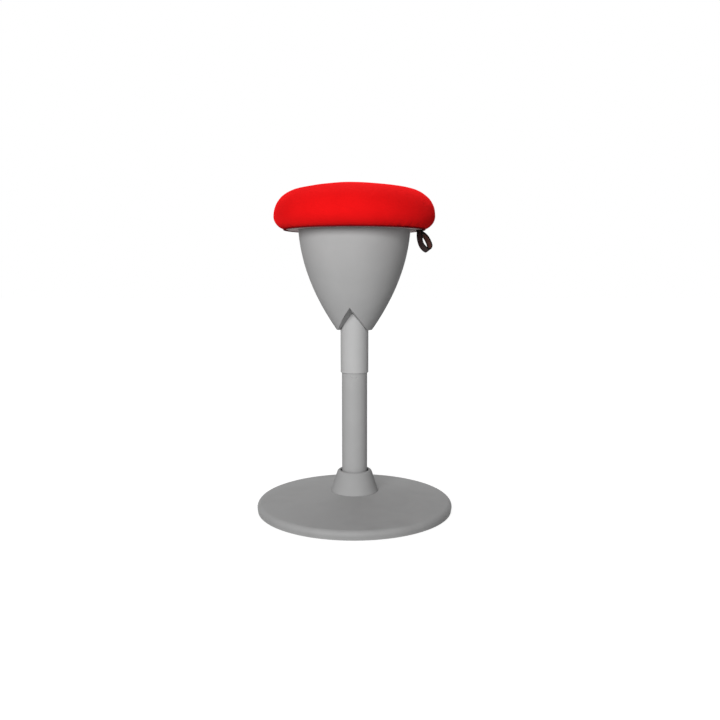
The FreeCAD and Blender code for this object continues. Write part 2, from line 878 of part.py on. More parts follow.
def seat_plate():
    """Pressed steel plate: flat centre, raised flange, a tapered hub for the gas cylinder and a slot
    that the lever swings down into."""
    shrink = (cylinder_radius - taper_tip_radius) / taper_length
    gap = 0.1
    bore_top = taper_tip_radius + gap
    wall = seat_plate_thickness
    plate = turned(
        (cylinder_radius - shrink * (hub_bottom - taper_bottom) + gap, hub_bottom),
        (hub_radius, hub_bottom),
        (hub_radius, plate_bottom - 4),
        ((hub_radius + 1.2, plate_bottom - 1.2), (hub_radius + 4, plate_bottom)),
        (plate_flat_radius, plate_bottom),
        (plate_rise_radius, plate_flange_bottom),
        (plate_flange_radius, plate_flange_bottom),
        (plate_flange_radius, board_bottom),
        (plate_rise_radius - 1, board_bottom),
        (plate_flat_radius - 1, plate_bottom + wall),
        (bore_top - 4, plate_bottom + wall),
        (bore_top - 4, cylinder_top + 0.3),
        (bore_top, cylinder_top + 0.3),
        (bore_top, cylinder_top),
    )
    hole = disc(bolt[0] + screw_clearance, 0, board_bottom + 1, plate_bolt_circle)
    half = lever_width / 2 + lever_gate_room
    start = plate_flat_radius - lever_gate_length
    lever_gate = box(start, plate_flange_radius + 1, -half, half, plate_bottom - 1, board_bottom + 1)
    return plate.cut(group(around(hole, plate_bolt_count, plate_bolt_azimuth) + [lever_gate]))


def plate_bolts():
    one = screw(bolt, plate_bolt_circle, plate_flange_bottom - bolt[2], board_top - 1)
    return group(around(one, plate_bolt_count, plate_bolt_azimuth))


def tee_nuts():
    """Tee nuts pressed into the board from above: a flange and a barrel."""
    flange = disc(tee_nut_radius, board_top - tee_nut_flange, board_top, plate_bolt_circle)
    barrel = disc(bolt[0] + 1.2, board_bottom + 1, board_top, plate_bolt_circle)
    nut = flange.fuse(barrel).cut(disc(bolt[0] + fit_gap, 0, board_top + 1, plate_bolt_circle))
    return group(around(nut, plate_bolt_count, plate_bolt_azimuth))


def seat_board():
    """Plywood disc with eased edges, drilled for the tee nuts and screws."""
    eased = 1.5
    board = turned(
        (0, board_bottom),
        (board_radius - eased, board_bottom),
        (board_radius, board_bottom + eased),
        (board_radius, board_top - eased),
        (board_radius - eased, board_top),
        (0, board_top),
    )
    flange = disc(tee_nut_radius + 0.1, board_top - tee_nut_flange, board_top + 1, plate_bolt_circle)
    barrel = disc(bolt[0] + 1.3, board_bottom - 1, board_top, plate_bolt_circle)
    cuts = around(flange.fuse(barrel), plate_bolt_count, plate_bolt_azimuth)
    pilot = disc(small_screw[0] + fit_gap, board_bottom - 1, board_top - 1, pan_screw_circle)
    cuts += around(pilot, pan_screw_count, pan_screw_azimuth)
    return board.cut(group(cuts))


# Cushion

def crown(inset):
    """Arc steps of the cushion's outline, from its foot round the side and shoulder to the crown.
    The crown's arc is tangent to the shoulder's, and level at the axis."""
    side_radius = cushion_widest_height - seat_underside - inset
    side_centre = cushion_radius - inset - side_radius
    foot_angle = math.acos((cushion_foot_radius - side_centre) / side_radius)
    shoulder = shoulder_radius - inset
    shoulder_centre = cushion_radius - shoulder_radius
    rise = crown_height - inset - cushion_widest_height
    reach = shoulder_centre ** 2 + rise ** 2 - shoulder ** 2
    crown_radius = reach / (2 * (rise - shoulder))
    crown_centre = crown_height - inset - crown_radius
    lean = math.atan2(shoulder_centre, cushion_widest_height - crown_centre)

    def side_point(angle):
        return (side_centre + side_radius * math.cos(angle),
                cushion_widest_height - side_radius * math.sin(angle))

    def shoulder_point(angle):
        return (shoulder_centre + shoulder * math.sin(angle),
                cushion_widest_height + shoulder * math.cos(angle))

    def crown_point(angle):
        return (crown_radius * math.sin(angle), crown_centre + crown_radius * math.cos(angle))

    foot = side_point(foot_angle)
    steps = (
        (side_point(foot_angle / 2), side_point(0)),
        (shoulder_point((lean + math.pi / 2) / 2), shoulder_point(lean)),
        (crown_point(lean / 2), crown_point(0)),
    )
    return foot, steps


def seat_foam():
    """Moulded foam: a crowned top that wraps down round the edge of the board."""
    foot, steps = crown(cover_thickness + body_gap)
    return turned(foot, *steps, (0, board_top), (foot[0], board_top))


def seat_cover():
    """Fabric cover over the foam, drawn in under the cushion's lower edge."""
    outer_foot, outer_steps = crown(0)
    inner_foot, inner_steps = crown(cover_thickness)
    side, shoulder, top = inner_steps
    back = (
        top[1],
        (top[0], shoulder[1]),
        (shoulder[0], side[1]),
        (side[0], inner_foot),
    )
    return turned(outer_foot, *outer_steps, *back)


def cover_hem():
    """Elastic hem that draws the cover in under the seat."""
    top = seat_underside
    bottom = top - hem_thickness
    middle = (top + bottom) / 2
    inner = cushion_foot_radius - 1
    outer = inner + hem_width
    return turned(
        (inner, bottom),
        (outer, bottom),
        ((outer + hem_thickness / 2, middle), (outer, top)),
        (inner, top),
        ((inner - hem_thickness / 2, middle), (inner, bottom)),
    )


# Release lever and strap

def lever_rod(radius, half_length):
    """Cylinder along Y on the lever's axis."""
    start = Vector(lever_pivot_x, -half_length, lever_axis_z)
    return Part.makeCylinder(radius, 2 * half_length, start, Vector(0, 1, 0))


def lever_bracket():
    """Pair of ears on a foot, welded to the seat plate."""
    x0 = lever_pivot_x - ear_length / 2
    x1 = lever_pivot_x + ear_length / 2
    inner = lever_width / 2 + lever_side_gap
    outer = inner + ear_thickness
    top = lever_axis_z + lever_eye_radius
    ears = [box(x0, x1, inner, outer, plate_top, top), box(x0, x1, -outer, -inner, plate_top, top)]
    foot = box(x0, x1, -outer, outer, plate_top, plate_top + 0.4)
    return foot.multiFuse(ears).cut(lever_rod(lever_pin_radius + fit_gap, outer + 1)).removeSplitter()


def lever_pin():
    return lever_rod(lever_pin_radius, lever_width / 2 + lever_side_gap + ear_thickness + 1.5)


def release_lever():
    """Flat steel lever: rolled eye at the pivot, a pad over the release pin, and an end that turns
    to one side, where the strap is riveted under it."""
    half = lever_width / 2
    arm = box(lever_pivot_x, strap_anchor_x, -half, half, lever_bottom, lever_top)
    nose = disc(half, lever_bottom, lever_top, strap_anchor_x)
    toe = box(strap_anchor_x - half, strap_anchor_x + half, strap_anchor_y, 0, lever_bottom, lever_top)
    tip = disc(half, lever_bottom, lever_top, strap_anchor_x, strap_anchor_y)
    eye = lever_rod(lever_eye_radius, half)
    pad = disc(lever_pad_radius, release_pin_top + pad_gap, lever_axis_z)
    pin = lever_rod(lever_pin_radius + fit_gap, lever_width)
    rivet = disc(rivet_radius + fit_gap, 0, board_top, strap_anchor_x, strap_anchor_y)
    return arm.multiFuse([nose, toe, tip, eye, pad]).removeSplitter().cut(pin.fuse(rivet))


def strap_place(shape):
    """Turn a strap outline from its own plane to the strap's azimuth and hang it on the anchor."""
    placed = turn(shape, strap_azimuth)
    placed.translate(Vector(strap_anchor_x, strap_anchor_y, 0))
    return placed


def strap_edge(side):
    """Outer and inner outlines of the strap's loop along one edge of the band. The far edge, side 1,
    hangs lower than the near edge, side -1, so the band twists on its way down."""
    thick = strap_thickness
    top = lever_bottom
    under = top - 2 * thick
    neck = seat_underside - 2.0
    bottom = seat_underside - strap_drop
    corner = bottom + 9

    def spot(reach, height, share):
        return (reach + side * strap_sway * share, height - side * strap_twist * share)

    outer = outline(
        (-strap_tail, under),
        (3, under),
        ((8.8, under - 3.6), (12.2, neck - 2.3)),
        (spot(13.6, bottom + 20, 0.4), spot(21.2, bottom + 7.8, 0.7)),
        (spot(29.0, bottom + 2.8, 0.9), spot(strap_reach - 9.9, bottom, 1)),
        (spot(strap_reach - 2, bottom + 2, 1), spot(strap_reach, corner, 0.8)),
        (spot(34.5, neck - 11.5, 0.5), (14.8, neck)),
        ((11.0, top - 4.6), (3, top)),
        (-strap_tail, top),
    )
    inner = outline(
        (16.4, neck - 5),
        (spot(15.5, bottom + 20.4, 0.4), spot(22.4, bottom + 9.2, 0.7)),
        (spot(29.7, bottom + 4.5, 0.9), spot(strap_reach - 9.8, bottom + thick, 1)),
        (spot(strap_reach - 3.4, bottom + 3.3, 1), spot(strap_reach - thick, corner - 0.3, 0.8)),
        (spot(33.2, neck - 12.8, 0.5), (16.4, neck - 5)),
    )
    outlines = [outer.OuterWire, inner.OuterWire]
    for wire in outlines:
        wire.translate(Vector(0, side * strap_width / 2, 0))
    return outlines


def pull_strap():
    """Leather strap folded into a loop: two layers riveted under the lever, then an open, twisted loop."""
    band, eye = [Part.makeLoft(list(pair), True, True) for pair in zip(strap_edge(-1), strap_edge(1))]
    rivet = disc(rivet_radius + fit_gap, seat_underside, lever_top)
    return strap_place(band.cut(eye).cut(rivet))


def strap_rivet():
    low = lever_bottom - 2 * strap_thickness
    head = rivet_head_radius
    rivet = turned(
        (0, low - rivet_head_height),
        (head - 1.5, low - rivet_head_height),
        ((head - 0.4, low - rivet_head_height * 0.6), (head, low)),
        (rivet_radius, low),
        (rivet_radius, lever_top),
        (head, lever_top),
        ((head - 0.4, lever_top + rivet_head_height * 0.6), (head - 1.5, lever_top + rivet_head_height)),
        (0, lever_top + rivet_head_height),
    )
    rivet.translate(Vector(strap_anchor_x, strap_anchor_y, 0))
    return rivet


NODES = (
    base_shell, ballast_plate, ballast_screws, floor_ring,
    joint_cup, clamp_ring, cup_screws, lower_rubber, upper_rubber, collar_boot,
    tilt_washer, middle_rubber,
    column_foot, column_tube, guide_bush, thrust_washer_low, thrust_balls, ball_cage,
    piston_rod, rod_clip, thrust_washer_high, bump_stop, piston, piston_ring,
    gas_cylinder, cylinder_end_guide, upper_sleeve, sleeve_glide,
    cone_shell, cone_screws, under_pan, pan_screws, seat_plate, plate_bolts, tee_nuts,
    seat_board, seat_foam, seat_cover, cover_hem, lever_bracket, lever_pin,
    release_button, release_lever, pull_strap, strap_rivet,
)

os.makedirs("parts", exist_ok=True)
for make in NODES:
    shape = make()
    name = make.__name__
    solids = shape.Solids
    valid = all(one.isValid() and one.isClosed() for one in solids)
    volume = sum(one.Volume for one in solids) / 1000
    if len(solids) == 1:
        shape = solids[0]
    shape.exportStep(f"parts/{name}.step")
    print(f"{name}: {len(solids)} solid(s), {volume:.1f} cm3, valid {valid}")
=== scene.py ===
import json
import math

import bpy
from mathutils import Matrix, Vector
from mathutils.bvhtree import BVHTree
from mathutils.noise import noise

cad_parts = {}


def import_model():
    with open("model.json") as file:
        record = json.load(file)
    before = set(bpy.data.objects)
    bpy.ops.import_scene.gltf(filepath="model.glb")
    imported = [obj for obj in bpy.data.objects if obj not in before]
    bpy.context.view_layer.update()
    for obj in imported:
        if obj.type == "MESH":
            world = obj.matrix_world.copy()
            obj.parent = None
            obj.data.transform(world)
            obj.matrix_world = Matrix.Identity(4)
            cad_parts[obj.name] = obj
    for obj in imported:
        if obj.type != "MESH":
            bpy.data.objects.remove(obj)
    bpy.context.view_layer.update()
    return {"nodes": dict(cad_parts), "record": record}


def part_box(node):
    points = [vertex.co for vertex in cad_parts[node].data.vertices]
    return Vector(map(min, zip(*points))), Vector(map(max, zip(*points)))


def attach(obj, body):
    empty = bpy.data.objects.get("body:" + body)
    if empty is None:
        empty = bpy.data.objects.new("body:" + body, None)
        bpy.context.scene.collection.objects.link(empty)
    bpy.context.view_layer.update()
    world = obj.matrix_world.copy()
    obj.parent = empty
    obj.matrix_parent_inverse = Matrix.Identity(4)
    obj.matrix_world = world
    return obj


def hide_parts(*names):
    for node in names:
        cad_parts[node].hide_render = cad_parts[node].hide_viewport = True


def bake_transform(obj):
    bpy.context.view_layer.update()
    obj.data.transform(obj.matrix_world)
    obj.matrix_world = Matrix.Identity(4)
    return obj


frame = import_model()
nodes = frame["nodes"]
scene = bpy.context.scene

TAU = 2 * math.pi

# Camera, at the photograph's place
PICTURE_WIDTH = 720
CAMERA_PLACE = (0.0108, -1.46818, 0.470548)
CAMERA_PITCH = math.radians(6.671)
CAMERA_FOCAL_PIXELS = 751.718
SENSOR_WIDTH = 36.0

# Light: level of the room, glow of the floor, and how far out its shadow shows
ROOM_LEVEL = 0.13
FLOOR_GLOW = 0.87
FLOOR_SHADOW_REACH = 0.6
FLOOR_WHITE_REACH = 2.0

# Cushion, in metres: the arcs that the foam and cover follow
SEAT_UNDERSIDE = 0.551
CUSHION_RADIUS = 0.1559
CROWN_HEIGHT = 0.6385
WIDEST_HEIGHT = 0.576
SHOULDER_RADIUS = 0.050
FOOT_RADIUS = 0.1346
COVER_POINTS_ROUND = 960

# Cloth simulation of the cushion: inset at the start, point spacing, pressure, frames, and the most that a
# point may move
CLOTH_INSET = 0.003
CLOTH_SPACING = 0.005
CLOTH_PRESSURE = 4.0
CLOTH_FRAMES = 20
CLOTH_MOST = 0.004

# How the cover follows the simulated body: share of the even swell, share of its ripples, the most in all
SWELL_SHARE = 0.25
RIPPLE_SHARE = 0.3
COVER_MOST = 0.0010
COVER_SLACK = 0.0002
PLEAT_HEIGHT = 0.016
PLEAT_DEPTH = 0.0009

# Elastic in the cover's lower edge
HEM_RADIUS = 0.1347
HEM_RISE = 0.0001
HEM_HALF_WIDTH = 0.0019
HEM_HALF_HEIGHT = 0.0012
HEM_PUCKER = 0.0003

# Collar, in metres
COLLAR_FOOT = 0.037
COLLAR_TOP = 0.0795
COLLAR_SEAM = 0.057

# Pull strap, in metres: where it hangs, and the size of its band
STRAP_ANCHOR = (0.1166, -0.008)
STRAP_AZIMUTH = math.radians(46)
STRAP_WIDTH = 0.0136
STRAP_THICKNESS = 0.0018
STRAP_TOP = 0.561
STRAP_DROP = 0.039
STRAP_REACH = 0.0465
STRAP_TWIST = 0.0033
STRAP_SWAY = 0.0012


# Shader groups and materials

def new_group(name, inputs, outputs):
    tree = bpy.data.node_groups.new(name, "ShaderNodeTree")
    for label, kind, value in inputs:
        socket = tree.interface.new_socket(label, in_out="INPUT", socket_type=kind)
        if value is not None:
            socket.default_value = value
    for label, kind in outputs:
        tree.interface.new_socket(label, in_out="OUTPUT", socket_type=kind)
    return tree


def add(tree, kind, **settings):
    node = tree.nodes.new(kind)
    for key, value in settings.items():
        setattr(node, key, value)
    return node


def wire(tree, source, target):
    tree.links.new(source, target)


def maths(tree, operation, a, b=None, clamp=False):
    node = add(tree, "ShaderNodeMath", operation=operation, use_clamp=clamp)
    for socket, value in zip(node.inputs, (a, b)):
        if value is None:
            continue
        if isinstance(value, (int, float)):
            socket.default_value = value
        else:
            wire(tree, value, socket)
    return node.outputs[0]


def ramp(tree, value, low, high, start=0.0, end=1.0):
    node = add(tree, "ShaderNodeMapRange", clamp=True)
    for socket, number in zip(node.inputs[1:5], (low, high, start, end)):
        socket.default_value = number
    wire(tree, value, node.inputs[0])
    return node.outputs[0]


def grain_group():
    """Fine moulded grain with slow mottling. Shade and Height run from 0 to 1."""
    tree = new_group(
        "moulded_grain",
        [("Grain size", "NodeSocketFloat", 1400.0), ("Mottle size", "NodeSocketFloat", 18.0)],
        [("Shade", "NodeSocketFloat"), ("Height", "NodeSocketFloat")],
    )
    start = add(tree, "NodeGroupInput")
    end = add(tree, "NodeGroupOutput")
    place = add(tree, "ShaderNodeTexCoord")
    fine = add(tree, "ShaderNodeTexNoise")
    fine.inputs["Detail"].default_value = 2.0
    fine.inputs["Roughness"].default_value = 0.6
    slow = add(tree, "ShaderNodeTexNoise")
    slow.inputs["Detail"].default_value = 3.0
    slow.inputs["Roughness"].default_value = 0.55
    for node, label in ((fine, "Grain size"), (slow, "Mottle size")):
        wire(tree, place.outputs["Object"], node.inputs["Vector"])
        wire(tree, start.outputs[label], node.inputs["Scale"])
    fine_part = maths(tree, "MULTIPLY", fine.outputs["Fac"], 0.35)
    slow_part = maths(tree, "MULTIPLY", slow.outputs["Fac"], 0.65)
    wire(tree, maths(tree, "ADD", fine_part, slow_part), end.inputs["Shade"])
    wire(tree, fine.outputs["Fac"], end.inputs["Height"])
    return tree


def edge_group():
    """Mask of the outer edges, broken up, where handling polishes or scuffs a surface."""
    tree = new_group(
        "edge_wear",
        [("Width", "NodeSocketFloat", 0.0015), ("Break up", "NodeSocketFloat", 120.0)],
        [("Mask", "NodeSocketFloat")],
    )
    start = add(tree, "NodeGroupInput")
    end = add(tree, "NodeGroupOutput")
    place = add(tree, "ShaderNodeTexCoord")
    bevel = add(tree, "ShaderNodeBevel", samples=4)
    shape = add(tree, "ShaderNodeNewGeometry")
    dot = add(tree, "ShaderNodeVectorMath", operation="DOT_PRODUCT")
    patches = add(tree, "ShaderNodeTexNoise")
    patches.inputs["Detail"].default_value = 4.0
    wire(tree, start.outputs["Width"], bevel.inputs["Radius"])
    wire(tree, start.outputs["Break up"], patches.inputs["Scale"])
    wire(tree, place.outputs["Object"], patches.inputs["Vector"])
    wire(tree, bevel.outputs["Normal"], dot.inputs[0])
    wire(tree, shape.outputs["Normal"], dot.inputs[1])
    edge = ramp(tree, dot.outputs["Value"], 0.98, 0.80)
    patch = ramp(tree, patches.outputs["Fac"], 0.42, 0.62)
    wire(tree, maths(tree, "MULTIPLY", edge, patch), end.inputs["Mask"])
    return tree


def smudge_group():
    """Mask of faint scuffs and wiped patches."""
    tree = new_group(
        "smudges",
        [("Size", "NodeSocketFloat", 16.0), ("Streak", "NodeSocketFloat", 0.5)],
        [("Mask", "NodeSocketFloat")],
    )
    start = add(tree, "NodeGroupInput")
    end = add(tree, "NodeGroupOutput")
    place = add(tree, "ShaderNodeTexCoord")
    patch = add(tree, "ShaderNodeTexNoise")
    patch.inputs["Detail"].default_value = 2.5
    patch.inputs["Roughness"].default_value = 0.5
    wire(tree, place.outputs["Object"], patch.inputs["Vector"])
    wire(tree, start.outputs["Size"], patch.inputs["Scale"])
    wire(tree, start.outputs["Streak"], patch.inputs["Distortion"])
    wire(tree, ramp(tree, patch.outputs["Fac"], 0.45, 0.80), end.inputs["Mask"])
    return tree


def crevice_group():
    """Painted shade: mask of the corners and gaps that little light reaches, where the colour is darkened."""
    tree = new_group(
        "crevice_painted_shade",
        [("Reach", "NodeSocketFloat", 0.004)],
        [("Mask", "NodeSocketFloat")],
    )
    start = add(tree, "NodeGroupInput")
    end = add(tree, "NodeGroupOutput")
    near = add(tree, "ShaderNodeAmbientOcclusion", samples=8)
    wire(tree, start.outputs["Reach"], near.inputs["Distance"])
    wire(tree, ramp(tree, near.outputs["AO"], 0.70, 0.28), end.inputs["Mask"])
    return tree


def weave_group():
    """Over-and-under weave laid on whichever way the surface faces. Height and Shade run from 0 to 1."""
    tree = new_group(
        "cloth_weave",
        [("Threads", "NodeSocketFloat", 900.0)],
        [("Height", "NodeSocketFloat"), ("Shade", "NodeSocketFloat")],
    )
    start = add(tree, "NodeGroupInput")
    end = add(tree, "NodeGroupOutput")
    place = add(tree, "ShaderNodeTexCoord")
    shape = add(tree, "ShaderNodeNewGeometry")
    split = add(tree, "ShaderNodeSeparateXYZ")
    facing = add(tree, "ShaderNodeSeparateXYZ")
    wire(tree, place.outputs["Object"], split.inputs[0])
    wire(tree, place.outputs["Normal"], facing.inputs[0])
    turns = []
    for axis in range(3):
        angle = maths(tree, "MULTIPLY", split.outputs[axis], start.outputs["Threads"])
        angle = maths(tree, "MULTIPLY", angle, TAU)
        turns.append(maths(tree, "SINE", angle))
    total = None
    for axis in range(3):
        first, second = [turns[i] for i in range(3) if i != axis]
        cross = maths(tree, "MULTIPLY", first, second)
        weight = maths(tree, "POWER", maths(tree, "ABSOLUTE", facing.outputs[axis]), 4.0)
        part = maths(tree, "MULTIPLY", cross, weight)
        total = part if total is None else maths(tree, "ADD", total, part)
    height = ramp(tree, total, -1.0, 1.0)
    fuzz = add(tree, "ShaderNodeTexNoise")
    fuzz.inputs["Scale"].default_value = 2600.0
    fuzz.inputs["Detail"].default_value = 2.0
    wire(tree, place.outputs["Object"], fuzz.inputs["Vector"])
    loose = maths(tree, "MULTIPLY", fuzz.outputs["Fac"], 0.5)
    cloth = maths(tree, "MULTIPLY", height, 0.5)
    wire(tree, maths(tree, "ADD", loose, cloth), end.inputs["Height"])
    slow = add(tree, "ShaderNodeTexNoise")
    slow.inputs["Scale"].default_value = 22.0
    slow.inputs["Detail"].default_value = 3.0
    wire(tree, place.outputs["Object"], slow.inputs["Vector"])
    slow_part = maths(tree, "MULTIPLY", slow.outputs["Fac"], 0.5)
    wire(tree, maths(tree, "ADD", slow_part, cloth), end.inputs["Shade"])
    return tree


def brushed_group():
    """Lathe or brush lines round Z. Lines runs from 0 to 1."""
    tree = new_group(
        "turned_lines",
        [("Spacing", "NodeSocketFloat", 1800.0)],
        [("Lines", "NodeSocketFloat")],
    )
    start = add(tree, "NodeGroupInput")
    end = add(tree, "NodeGroupOutput")
    place = add(tree, "ShaderNodeTexCoord")
    stretch = add(tree, "ShaderNodeMapping")
    stretch.inputs["Scale"].default_value = (0.03, 0.03, 1.0)
    lines = add(tree, "ShaderNodeTexNoise")
    lines.inputs["Detail"].default_value = 3.0
    wire(tree, place.outputs["Object"], stretch.inputs["Vector"])
    wire(tree, stretch.outputs["Vector"], lines.inputs["Vector"])
    wire(tree, start.outputs["Spacing"], lines.inputs["Scale"])
    wire(tree, lines.outputs["Fac"], end.inputs["Lines"])
    return tree


def hide_group():
    """Leather grain: small pebbles split by creases."""
    tree = new_group(
        "hide_grain",
        [("Pebbles", "NodeSocketFloat", 700.0)],
        [("Height", "NodeSocketFloat"), ("Shade", "NodeSocketFloat")],
    )
    start = add(tree, "NodeGroupInput")
    end = add(tree, "NodeGroupOutput")
    place = add(tree, "ShaderNodeTexCoord")
    cells = add(tree, "ShaderNodeTexVoronoi", feature="DISTANCE_TO_EDGE")
    slow = add(tree, "ShaderNodeTexNoise")
    slow.inputs["Scale"].default_value = 90.0
    slow.inputs["Detail"].default_value = 4.0
    wire(tree, place.outputs["Object"], cells.inputs["Vector"])
    wire(tree, place.outputs["Object"], slow.inputs["Vector"])
    wire(tree, start.outputs["Pebbles"], cells.inputs["Scale"])
    wire(tree, ramp(tree, cells.outputs["Distance"], 0.0, 0.25), end.inputs["Height"])
    wire(tree, slow.outputs["Fac"], end.inputs["Shade"])
    return tree


GRAIN = grain_group()
EDGE = edge_group()
SMUDGE = smudge_group()
CREVICE = crevice_group()
WEAVE = weave_group()
BRUSHED = brushed_group()
HIDE = hide_group()


def place_group(tree, group, **values):
    node = add(tree, "ShaderNodeGroup")
    node.node_tree = group
    for label, value in values.items():
        node.inputs[label.replace("_", " ")].default_value = value
    return node


def blank(name):
    """A material with its Principled shader, and the tree to add to."""
    material = bpy.data.materials.new(name)
    material.use_nodes = True
    tree = material.node_tree
    return material, tree, tree.nodes["Principled BSDF"]


def mix_colour(tree, factor, low, high):
    node = add(tree, "ShaderNodeMix", data_type="RGBA")
    wire(tree, factor, node.inputs[0])
    for socket, value in ((node.inputs[6], low), (node.inputs[7], high)):
        if isinstance(value, tuple):
            socket.default_value = (*value, 1.0)
        else:
            wire(tree, value, socket)
    return node.outputs[2]


def bump(tree, shader, height, depth):
    node = add(tree, "ShaderNodeBump")
    node.inputs["Strength"].default_value = 1.0
    node.inputs["Distance"].default_value = depth
    wire(tree, height, node.inputs["Height"])
    wire(tree, node.outputs["Normal"], shader.inputs["Normal"])


def moulded(name, dark, light, rough, depth=0.00002, grain=1400.0, mottle=18.0, specular=0.3,
            scuffs=0.0, worn=None, painted_shade=0.0):
    """Moulded plastic, rubber, casting or paint: grain, mottling, scuffs, worn edges and painted shade in
    corners and gaps.
    """
    material, tree, shader = blank(name)
    texture = place_group(tree, GRAIN, Grain_size=grain, Mottle_size=mottle)
    shade = ramp(tree, texture.outputs["Shade"], 0.32, 0.68)
    colour = mix_colour(tree, shade, dark, light)
    if scuffs:
        mask = place_group(tree, SMUDGE)
        amount = maths(tree, "MULTIPLY", mask.outputs["Mask"], scuffs)
        colour = mix_colour(tree, amount, colour, tuple(0.72 * c for c in dark))
    if worn:
        edge = place_group(tree, EDGE)
        colour = mix_colour(tree, edge.outputs["Mask"], colour, worn)
    # Painted shade: the colour is darkened towards 0.15 of the dark tone in corners and gaps that little light
    # reaches.
    if painted_shade:
        corner = place_group(tree, CREVICE)
        amount = maths(tree, "MULTIPLY", corner.outputs["Mask"], painted_shade)
        colour = mix_colour(tree, amount, colour, tuple(0.15 * c for c in dark))
    wire(tree, colour, shader.inputs["Base Color"])
    wire(tree, ramp(tree, texture.outputs["Shade"], 0.3, 0.7, *rough), shader.inputs["Roughness"])
    shader.inputs["Specular IOR Level"].default_value = specular
    bump(tree, shader, texture.outputs["Height"], depth)
    return material


def turned_metal(name, dark, light, rough, spacing=1800.0, depth=0.000006):
    """Machined or plated metal with lines round its axis."""
    material, tree, shader = blank(name)
    texture = place_group(tree, BRUSHED, Spacing=spacing)
    colour = mix_colour(tree, ramp(tree, texture.outputs["Lines"], 0.3, 0.7), dark, light)
    wire(tree, colour, shader.inputs["Base Color"])
    wire(tree, ramp(tree, texture.outputs["Lines"], 0.3, 0.7, *rough), shader.inputs["Roughness"])
    shader.inputs["Metallic"].default_value = 1.0
    bump(tree, shader, texture.outputs["Lines"], depth)
    return material


def cloth(name, dark, light, threads, depth, sheen=0.03):
    """Woven cloth with a soft nap that lightens where it is seen edge on."""
    material, tree, shader = blank(name)
    texture = place_group(tree, WEAVE, Threads=threads)
    colour = mix_colour(tree, ramp(tree, texture.outputs["Shade"], 0.3, 0.7), dark, light)
    wire(tree, colour, shader.inputs["Base Color"])
    wire(tree, ramp(tree, texture.outputs["Height"], 0.2, 0.8, 0.95, 0.82), shader.inputs["Roughness"])
    shader.inputs["Specular IOR Level"].default_value = 0.04
    shader.inputs["Sheen Weight"].default_value = sheen
    shader.inputs["Sheen Roughness"].default_value = 0.6
    shader.inputs["Sheen Tint"].default_value = (1.0, light[1] * 2, light[2] * 2, 1.0)
    bump(tree, shader, texture.outputs["Height"], depth)
    return material


def leather(name, dark, light, rough, pebbles=700.0, depth=0.00008, specular=0.12):
    """Leather, or the paint on its cut edge: dark creases between small pebbles."""
    material, tree, shader = blank(name)
    texture = place_group(tree, HIDE, Pebbles=pebbles)
    crease = ramp(tree, texture.outputs["Height"], 0.0, 0.6)
    shade = maths(tree, "MULTIPLY", crease, ramp(tree, texture.outputs["Shade"], 0.3, 0.7, 0.5, 1.0))
    wire(tree, mix_colour(tree, shade, dark, light), shader.inputs["Base Color"])
    wire(tree, ramp(tree, texture.outputs["Shade"], 0.3, 0.7, *rough), shader.inputs["Roughness"])
    shader.inputs["Specular IOR Level"].default_value = specular
    bump(tree, shader, texture.outputs["Height"], depth)
    return material


def plywood(name):
    """Birch plywood: long grain on the faces, glued layers round the edge."""
    material, tree, shader = blank(name)
    place = add(tree, "ShaderNodeTexCoord")
    stretch = add(tree, "ShaderNodeMapping")
    stretch.inputs["Scale"].default_value = (4.0, 60.0, 8.0)
    grain = add(tree, "ShaderNodeTexNoise")
    grain.inputs["Scale"].default_value = 5.0
    grain.inputs["Detail"].default_value = 6.0
    grain.inputs["Distortion"].default_value = 0.6
    wire(tree, place.outputs["Object"], stretch.inputs["Vector"])
    wire(tree, stretch.outputs["Vector"], grain.inputs["Vector"])
    split = add(tree, "ShaderNodeSeparateXYZ")
    wire(tree, place.outputs["Object"], split.inputs[0])
    layer = maths(tree, "SINE", maths(tree, "MULTIPLY", split.outputs[2], 2 * TAU / 0.0028))
    layers = ramp(tree, layer, -1.0, 1.0)
    glued = maths(tree, "MULTIPLY", layers, 0.3)
    figure = maths(tree, "MULTIPLY", grain.outputs["Fac"], 0.7)
    shade = maths(tree, "ADD", glued, figure)
    colour = mix_colour(tree, ramp(tree, shade, 0.25, 0.75), (0.42, 0.27, 0.14), (0.70, 0.52, 0.33))
    wire(tree, colour, shader.inputs["Base Color"])
    wire(tree, ramp(tree, grain.outputs["Fac"], 0.3, 0.7, 0.5, 0.7), shader.inputs["Roughness"])
    bump(tree, shader, grain.outputs["Fac"], 0.0001)
    return material


